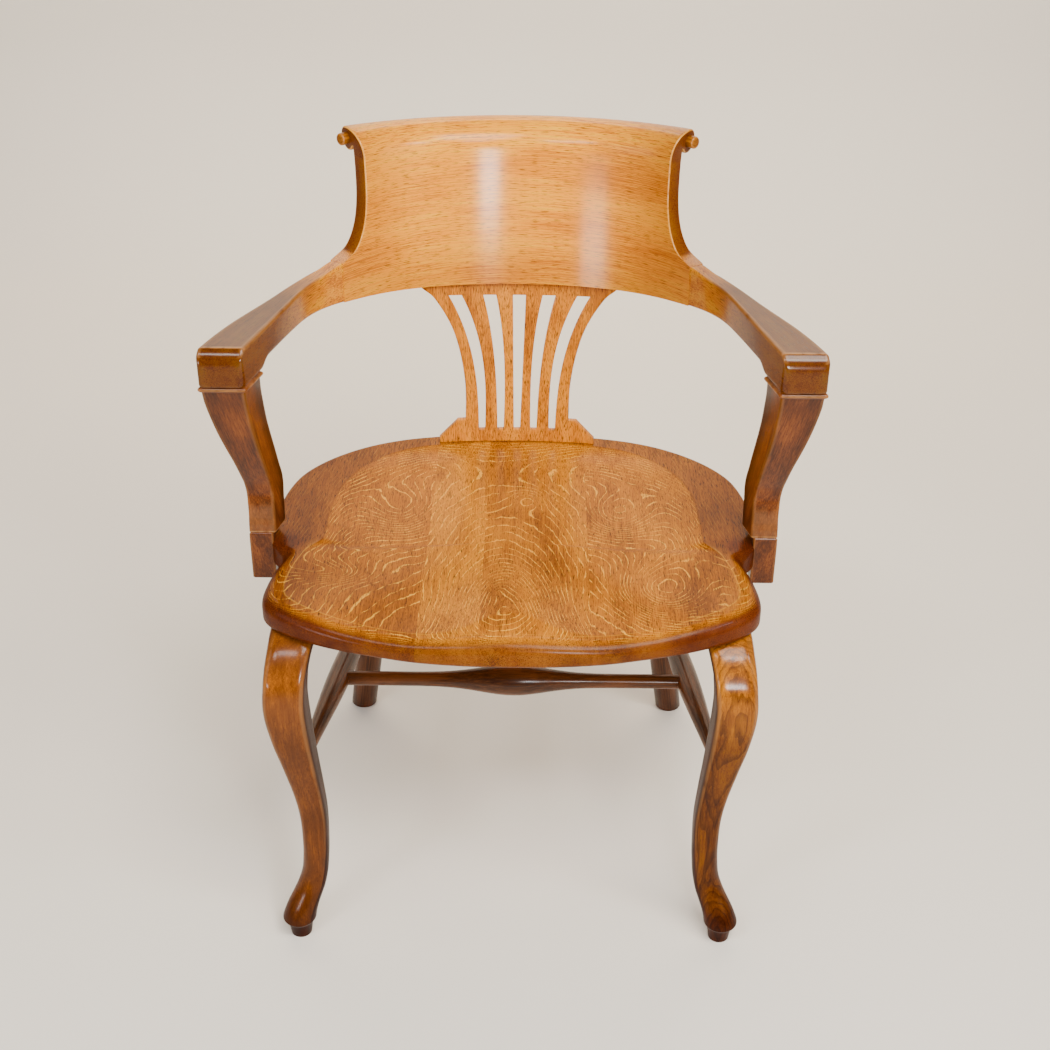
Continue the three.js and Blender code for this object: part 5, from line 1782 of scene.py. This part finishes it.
@dataclass
class Supports:
    """Shaped posts from the arms to blocks against the edge of the seat, with a collar on top."""

    wrap: float
    front: Pair = (-40.0, -94.0)
    outer: Pair = (297.0, 320.5)
    width: Pair = (30.0, 45.0)
    depth: Pair = (30.0, 40.0)
    lip: Pair = (452.0, -41.0)
    block: Four = (270.0, 27.0, 32.0, 391.0)
    top: float = 651.0
    seat_top: float = 440.0
    lip_step: float = 2.0
    radius: float = 2.0
    collar: Pair = (7.0, 2.6)
    ups: Row = (0, 0.07, 0.15, 0.25, 0.36, 0.48, 0.6, 0.72, 0.84, 0.93, 1)
    outs: Row = (0, -0.02, -0.04, 0, 0.1, 0.27, 0.51, 0.73, 0.9, 0.99, 1)
    wides: Row = (0, -0.02, -0.04, 0, 0.05, 0.2, 0.42, 0.63, 0.83, 0.95, 1)
    deeps: Row = (0, 0, 0, 0.1, 0.2, 0.35, 0.5, 0.65, 0.8, 0.9, 1)
    # The front flares twice above the lip
    front_ups: Row = (
        0, 0.04, 0.085, 0.11, 0.165, 0.225, 0.26, 0.31, 0.38, 0.48, 0.6, 0.72, 0.84, 0.93, 1
    )
    fronts: Row = (
        0, 0, -0.022, -0.025, -0.028, -0.075, -0.076, -0.03, 0.1, 0.27, 0.45, 0.62, 0.78, 0.9, 1
    )
    grain: Three = (-0.15, -0.3, 1.0)
    collar_grain: Three = (1.0, 0.2, 0.0)
    # Tone of the inner side, of the front's edges, under the collar and of the block; the first
    # three are painted shade
    tones: Four = (0.85, 0.5, 0.3, 0.25)
    edge_fade: Pair = (470.0, 560.0)
    top_fade: Pair = (590.0, 650.0)
    # Wear on the lip, a painted highlight on the front above it, and wear along the edges and on
    # the collar's nose
    wears_and_highlight: Four = (1.0, 0.14, 0.2, 0.5)
    # Heights where the painted highlight on the front fades in and out
    highlight_from: Pair = (450.0, 455.0)
    highlight_to: Pair = (475.0, 500.0)
    # A plug's radius, height over the floor and half the distance between the two
    plug: Three = (5.0, 424.0, 8.0)

    def ring(
        self, outer: Any, width: Any, front: Any, depth: Any, level: Any, radius: Any,
        grow: Any = 0.0,
    ) -> Array:
        """Rounded rectangles, whose back corners lean outwards with the arm above the seat. Each
        size is one number or one for every ring.

        Args:
            outer: distance of the outer side from the chair's middle.
            width: size across.
            front: Y of the front.
            depth: size from front to back.
            level: height over the floor.
            radius: the corners' radius.
            grow: how far the outline is moved outwards.

        Returns:
            Array (rings, points, 3).
        """
        sizes = np.broadcast_arrays(outer, width, front, depth, level, radius, grow)
        outer, width, front, depth, level, radius, grow = (np.atleast_1d(v) for v in sizes)
        across, along_y = RoundedSection().place(width + 2 * grow, depth + 2 * grow, radius)
        x = -(outer - width / 2)[:, None] + across
        y = (front + depth / 2)[:, None] + along_y
        slant = math.tan(math.pi / 2 - self.wrap) * (level > self.seat_top + 8)
        x = x + slant[:, None] * (y - front[:, None])
        return np.stack([x, y, np.broadcast_to(level[:, None], x.shape)], axis=-1)

    def rings(self) -> tuple[Array, int]:
        """Go down the left support from the collar to the lip, then down the square block.

        Returns:
            Array (rings, points, 3), and the number of the ring on the lip.
        """
        up = np.linspace(1, 0, 110)
        shape = (
            (self.outer, self.ups, self.outs), (self.width, self.ups, self.wides),
            (self.front, self.front_ups, self.fronts), (self.depth, self.ups, self.deeps),
        )
        sizes = (lerp(*ends, along(ups, shares, up)) for ends, ups, shares in shape)
        lip, lip_front = self.lip
        post = self.ring(*sizes, lerp(lip, self.top, up), self.radius)
        inner, width, depth, bottom = self.block
        step = lip - self.lip_step
        levels = np.array([step, step - 0.6, self.seat_top, 425.0, 408.0, bottom + 1.5, bottom])
        grow = np.array([-0.9, 0, 0, 0, 0, 0, -1.2])
        block = self.ring(inner + width, width, lip_front, depth, levels, 1.5, grow)
        under_lip = (self.width[0], self.front[0], self.depth[0], lip - 0.8, 1.5, -0.6)
        return np.concatenate([post, self.ring(inner + width, *under_lip), block]), len(up) - 1

    def shell(self) -> Shell:
        """The left support: darker on its inner side, at the edges of its front and under the
        collar, all painted shade; pale where the lip is worn, and with a pale painted highlight on
        the front above the lip.

        Returns:
            The shell.
        """
        rings, lip_ring = self.rings()
        off = rings - rings.mean(axis=1, keepdims=True)
        half = np.abs(off).max(axis=1, keepdims=True)
        across, ahead = off[..., 0] / half[..., 0], off[..., 1] / half[..., 1]
        facing = ease(-ahead, 0.8, 0.95)
        inner = ease(across, 0.8, 0.95) * (1 - facing)
        z = rings[..., 2]
        # Painted shade on the inner side, at the edges of the front and under the collar
        inner_shade, edge_shade, collar_shade, on_block = self.tones
        shadow = edge_shade * ease(np.abs(across), 0.3, 1.0) * ease(z, *self.edge_fade)
        shadow += collar_shade * ease(z, *self.top_fade)
        tone = inner_shade * inner + facing * shadow + on_block * (z < self.lip[0] - 1)
        lip_wear, front_highlight, edge_wear, _ = self.wears_and_highlight
        wear = np.broadcast_to(RoundedSection().corner_mark() * edge_wear, z.shape).copy()
        wear[lip_ring] = lip_wear
        # A pale painted highlight on the front just above the lip
        paled = facing * ease(z, *self.highlight_from) * (1 - ease(z, *self.highlight_to))
        marks = {"tone": np.clip(tone, 0, 1), "wear": np.maximum(wear, front_highlight * paled)}
        return Shell.lofted(rings, grain_along(rings, np.array(self.grain)), marks)

    def collar_shell(self) -> Shell:
        """The left collar: the post's top outline swept through a half-round nose.

        Returns:
            The shell.
        """
        height, proud = self.collar
        share = np.linspace(0, 1, 15)
        nose = np.sin(math.pi * share)
        grow = np.concatenate([[-2.0], 0.3 + proud * nose, [-2.0]])
        level = self.top + height * np.concatenate([[0.0], share, [1.0]])
        post = (self.outer[1], self.width[1], self.front[1], self.depth[1])
        rings = self.ring(*post, level, 2.6, grow)
        wear = self.wears_and_highlight[3] * np.concatenate([[0.0], nose**4, [0.0]])[:, None]
        wear = np.broadcast_to(wear, rings.shape[:2])
        return Shell.lofted(rings, grain_along(rings, np.array(self.collar_grain)), {"wear": wear})

    def plug_shell(self, side: int) -> Shell:
        """One of the left plugs: a disc let into the outer face of the block, a hair proud of it.

        Args:
            side: -1 for the front plug, 1 for the back one.

        Returns:
            The shell.
        """
        inner, width, depth, _ = self.block
        radius, height, half_gap = self.plug
        start = np.array([-(inner + width), self.lip[1] + depth / 2 + side * half_gap, height])
        places, radii = np.array([7.0, 0.05, -0.3, -0.3]), radius * np.array([1, 1, 0.92, 0.1])
        rings = turned(start, start + ACROSS, places, radii, 32)
        marks = {"tone": np.full(rings.shape[:2], self.tones[3])}
        return Shell.lofted(rings, rings[..., [2, 1, 0]], marks)

    def build(self, shop: Workshop) -> None:
        """Both supports, their collars and the plugs over their screws.

        Args:
            shop: what the sub-assemblies share.
        """
        shop.show_pair(self.shell(), "arm_support", BROWN)
        shop.show_pair(self.collar_shell(), "arm_collar", BROWN)
        for number, side in ((1, -1), (2, 1)):
            shop.show_pair(self.plug_shell(side), f"screw_plug_{number}", BROWN)


@dataclass
class Fixings:
    """Dowels and screws, which sit inside the joints and keep their CAD shapes."""

    sides: tuple[str, ...] = ("left", "right")

    def build(self, shop: Workshop) -> None:
        """Dress every dowel and screw.

        Args:
            shop: what the sub-assemblies share.
        """
        for side in self.sides:
            for number in (1, 2):
                shop.keep(f"arm_dowel_{number}_{side}", DOWEL)
                shop.keep(f"support_dowel_{number}_{side}", DOWEL)
                shop.keep(f"support_screw_{number}_{side}", ScrewSteel())


# ---------------------------------------------------------------- studio


def stand(right: Array, up: Array, back: Array, place: Array) -> Matrix:
    """Matrix that turns an object to three directions and stands it at a place."""
    return Matrix([*np.column_stack([right, up, back, place]).tolist(), [0.0, 0.0, 0.0, 1.0]])


@dataclass(frozen=True)
class SoftLight:
    """A rectangular studio light: place, the point it faces, size, watts and colour."""

    name: str
    place: Three
    aim: Three
    size: Pair
    power: float
    colour: str = "#ffffff"

    def build(self) -> None:
        """Add the light to the scene."""
        data = bpy.data.lights.new(self.name, "AREA")
        data.shape, data.size, data.size_y = "RECTANGLE", *self.size
        data.energy = self.power
        data.color = srgb(self.colour)[:3]
        light = bpy.data.objects.new(self.name, data)
        place = np.array(self.place)
        back, right, up = square_axes(place - self.aim, BACK)
        light.matrix_world = stand(right, up, back, place)
        bpy.context.scene.collection.objects.link(light)


@dataclass
class Studio:
    """Pale floor and backdrop, soft lights, and the camera at the photograph's angle."""

    focal_pixels: float = 1543.04
    image_pixels: float = 1050.0
    sensor: float = 36.0
    eye: Three = (0.02449, -1.55335, 1.34757)
    right: Three = (0.99991726, 0.01126897, 0.0062031)
    up: Three = (-0.01109388, 0.51138219, 0.85928178)
    forward: Three = (-0.00651107, 0.8592795, -0.5114649)
    # A broad light overhead, a warm wash on the backdrop, two lamps whose bands show in the panel,
    # windows and walls at the sides, and two small panes that the supports and knees mirror
    lights: tuple[SoftLight, ...] = (
        SoftLight("ceiling_front", (0.7, -1.35, 2.65), (0, 0, 0.6), (1.5, 1.0), 78.0, "#fff6e8"),
        SoftLight("backdrop_wash", (0.0, 1.6, 2.2), (0.0, 2.6, 0.0), (3.0, 0.8), 56.0, "#ffedd6"),
        SoftLight("lamp_left", (-0.52, -1.15, 1.64), (-0.2, -0.2, 0.5), (0.36, 0.2), 4.2),
        SoftLight("lamp_right", (0.5, -1.15, 1.64), (0.2, -0.2, 0.5), (0.36, 0.2), 4.2),
        SoftLight("window_left", (-1.15, -1.45, 2.05), (0.0, 0.1, 0.7), (0.4, 0.3), 8.0),
        SoftLight("window_right", (1.6, -1.0, 1.95), (0.0, 0.1, 0.7), (0.4, 0.3), 8.0),
        SoftLight("wall_left", (-2.4, -1.2, 1.5), (0.0, 0.0, 0.5), (1.2, 1.4), 10.0, "#fff6ea"),
        SoftLight("wall_right", (2.4, -1.4, 1.3), (0.0, 0.0, 0.5), (1.4, 1.4), 10.0, "#fff6ea"),
        SoftLight("pane_high", (0.33, -1.3, 0.76), (0.0, 0.1, 0.76), (0.22, 0.16), 7.4),
        SoftLight("pane_low", (-1.15, -1.3, 0.54), (0.0, 0.1, 0.7), (0.4, 0.2), 5.6),
    )
    # Half the floor's width, its front, the wall behind, its height and the bend between them
    half_floor: float = 4.5
    wall_y: float = 2.2
    wall_top: float = 4.0
    bend: float = 0.5
    room_colour: str = "#e4e8ee"
    room_strength: float = 0.22

    def camera(self) -> None:
        """The camera, from the fitted eye and directions."""
        data = bpy.data.cameras.new("photo_view")
        data.sensor_width = self.sensor
        data.sensor_fit = "HORIZONTAL"
        data.lens = self.focal_pixels * self.sensor / self.image_pixels
        data.clip_end = 50.0
        camera = bpy.data.objects.new("photo_view", data)
        camera.matrix_world = stand(self.right, self.up, -np.array(self.forward), self.eye)
        bpy.context.scene.collection.objects.link(camera)
        bpy.context.scene.camera = camera

    def plain(self, name: str, code: str, rough: float) -> bpy.types.Material:
        """Matt wall paint, rolled on: pale and even, with a faint cloudiness and no gloss.

        Args:
            name: the material's name.
            code: its colour.
            rough: its roughness.

        Returns:
            The material.
        """
        graph = Graph.blank(name)
        noise = {"Vector": graph.add("TexCoord", out="Object"), "Scale": 1.5, "Detail": 2.0}
        shade = {"Value": graph.add("TexNoise", noise, "Fac"), "To Min": 0.97, "To Max": 1.0}
        colour = {"Fac": 1.0, "Color1": srgb(code), "Color2": graph.add("MapRange", shade)}
        colour = graph.add("MixRGB", colour, blend_type="MULTIPLY")
        shader = graph.add("BsdfPrincipled", {"Base Color": colour, "Roughness": rough})
        graph.add("OutputMaterial", {"Surface": shader})
        return graph.material

    def backdrop(self) -> None:
        """A floor that bends up into a wall behind the chair: one profile carried across."""
        turn = np.linspace(0, math.pi / 2, 13)[1:]
        start = self.wall_y - self.bend
        bent = start + self.bend * np.sin(turn)
        y = np.concatenate([[-self.half_floor, 0.0, start], bent, [self.wall_y]])
        z = np.concatenate([[0.0, 0.0, 0.0], self.bend * (1 - np.cos(turn)), [self.wall_top]])
        x = np.linspace(-self.half_floor, self.half_floor, 9)
        grid = np.stack(np.broadcast_arrays(x, y[:, None], z[:, None]), axis=-1)
        mesh = bpy.data.meshes.new("studio_floor")
        quads = grid_faces(len(y), len(x), closed=False)
        mesh.from_pydata(grid.reshape(-1, 3).tolist(), [], quads.tolist())
        mesh.update()
        floor = link_object("studio_floor", mesh)
        floor.data.materials.append(self.plain("pale_floor_paint", "#f2ece2", 0.85))

    def build(self) -> None:
        """Set the stage."""
        self.camera()
        self.backdrop()
        for light in self.lights:
            light.build()
        world = bpy.data.worlds.new("soft_room")
        world.use_nodes = True
        background = world.node_tree.nodes["Background"]
        background.inputs["Color"].default_value = srgb(self.room_colour)
        background.inputs["Strength"].default_value = self.room_strength
        bpy.context.scene.world = world


def main() -> None:
    """Build the chair's pieces in order, then the studio."""
    logging.basicConfig(level=logging.INFO, format="%(message)s")
    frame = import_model()
    seat = Seat()
    placing = Placing(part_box("seat_board_3")[1].y / MM - seat.back_y)
    shop = Workshop(frame["nodes"], placing)
    bow = Bow()
    front_legs, rear_legs = FrontLegs(), RearLegs()
    seat.build(shop)
    front_legs.build(shop)
    rear_legs.build(shop)
    Stretchers().build(shop, rear_legs, front_legs)
    BackPanel(bow).build(shop)
    Splat(bow).build(shop)
    Arms(bow).build(shop)
    Supports(bow.wrap).build(shop)
    Fixings().build(shop)
    Studio().build()


if __name__ == "__main__":
    main()
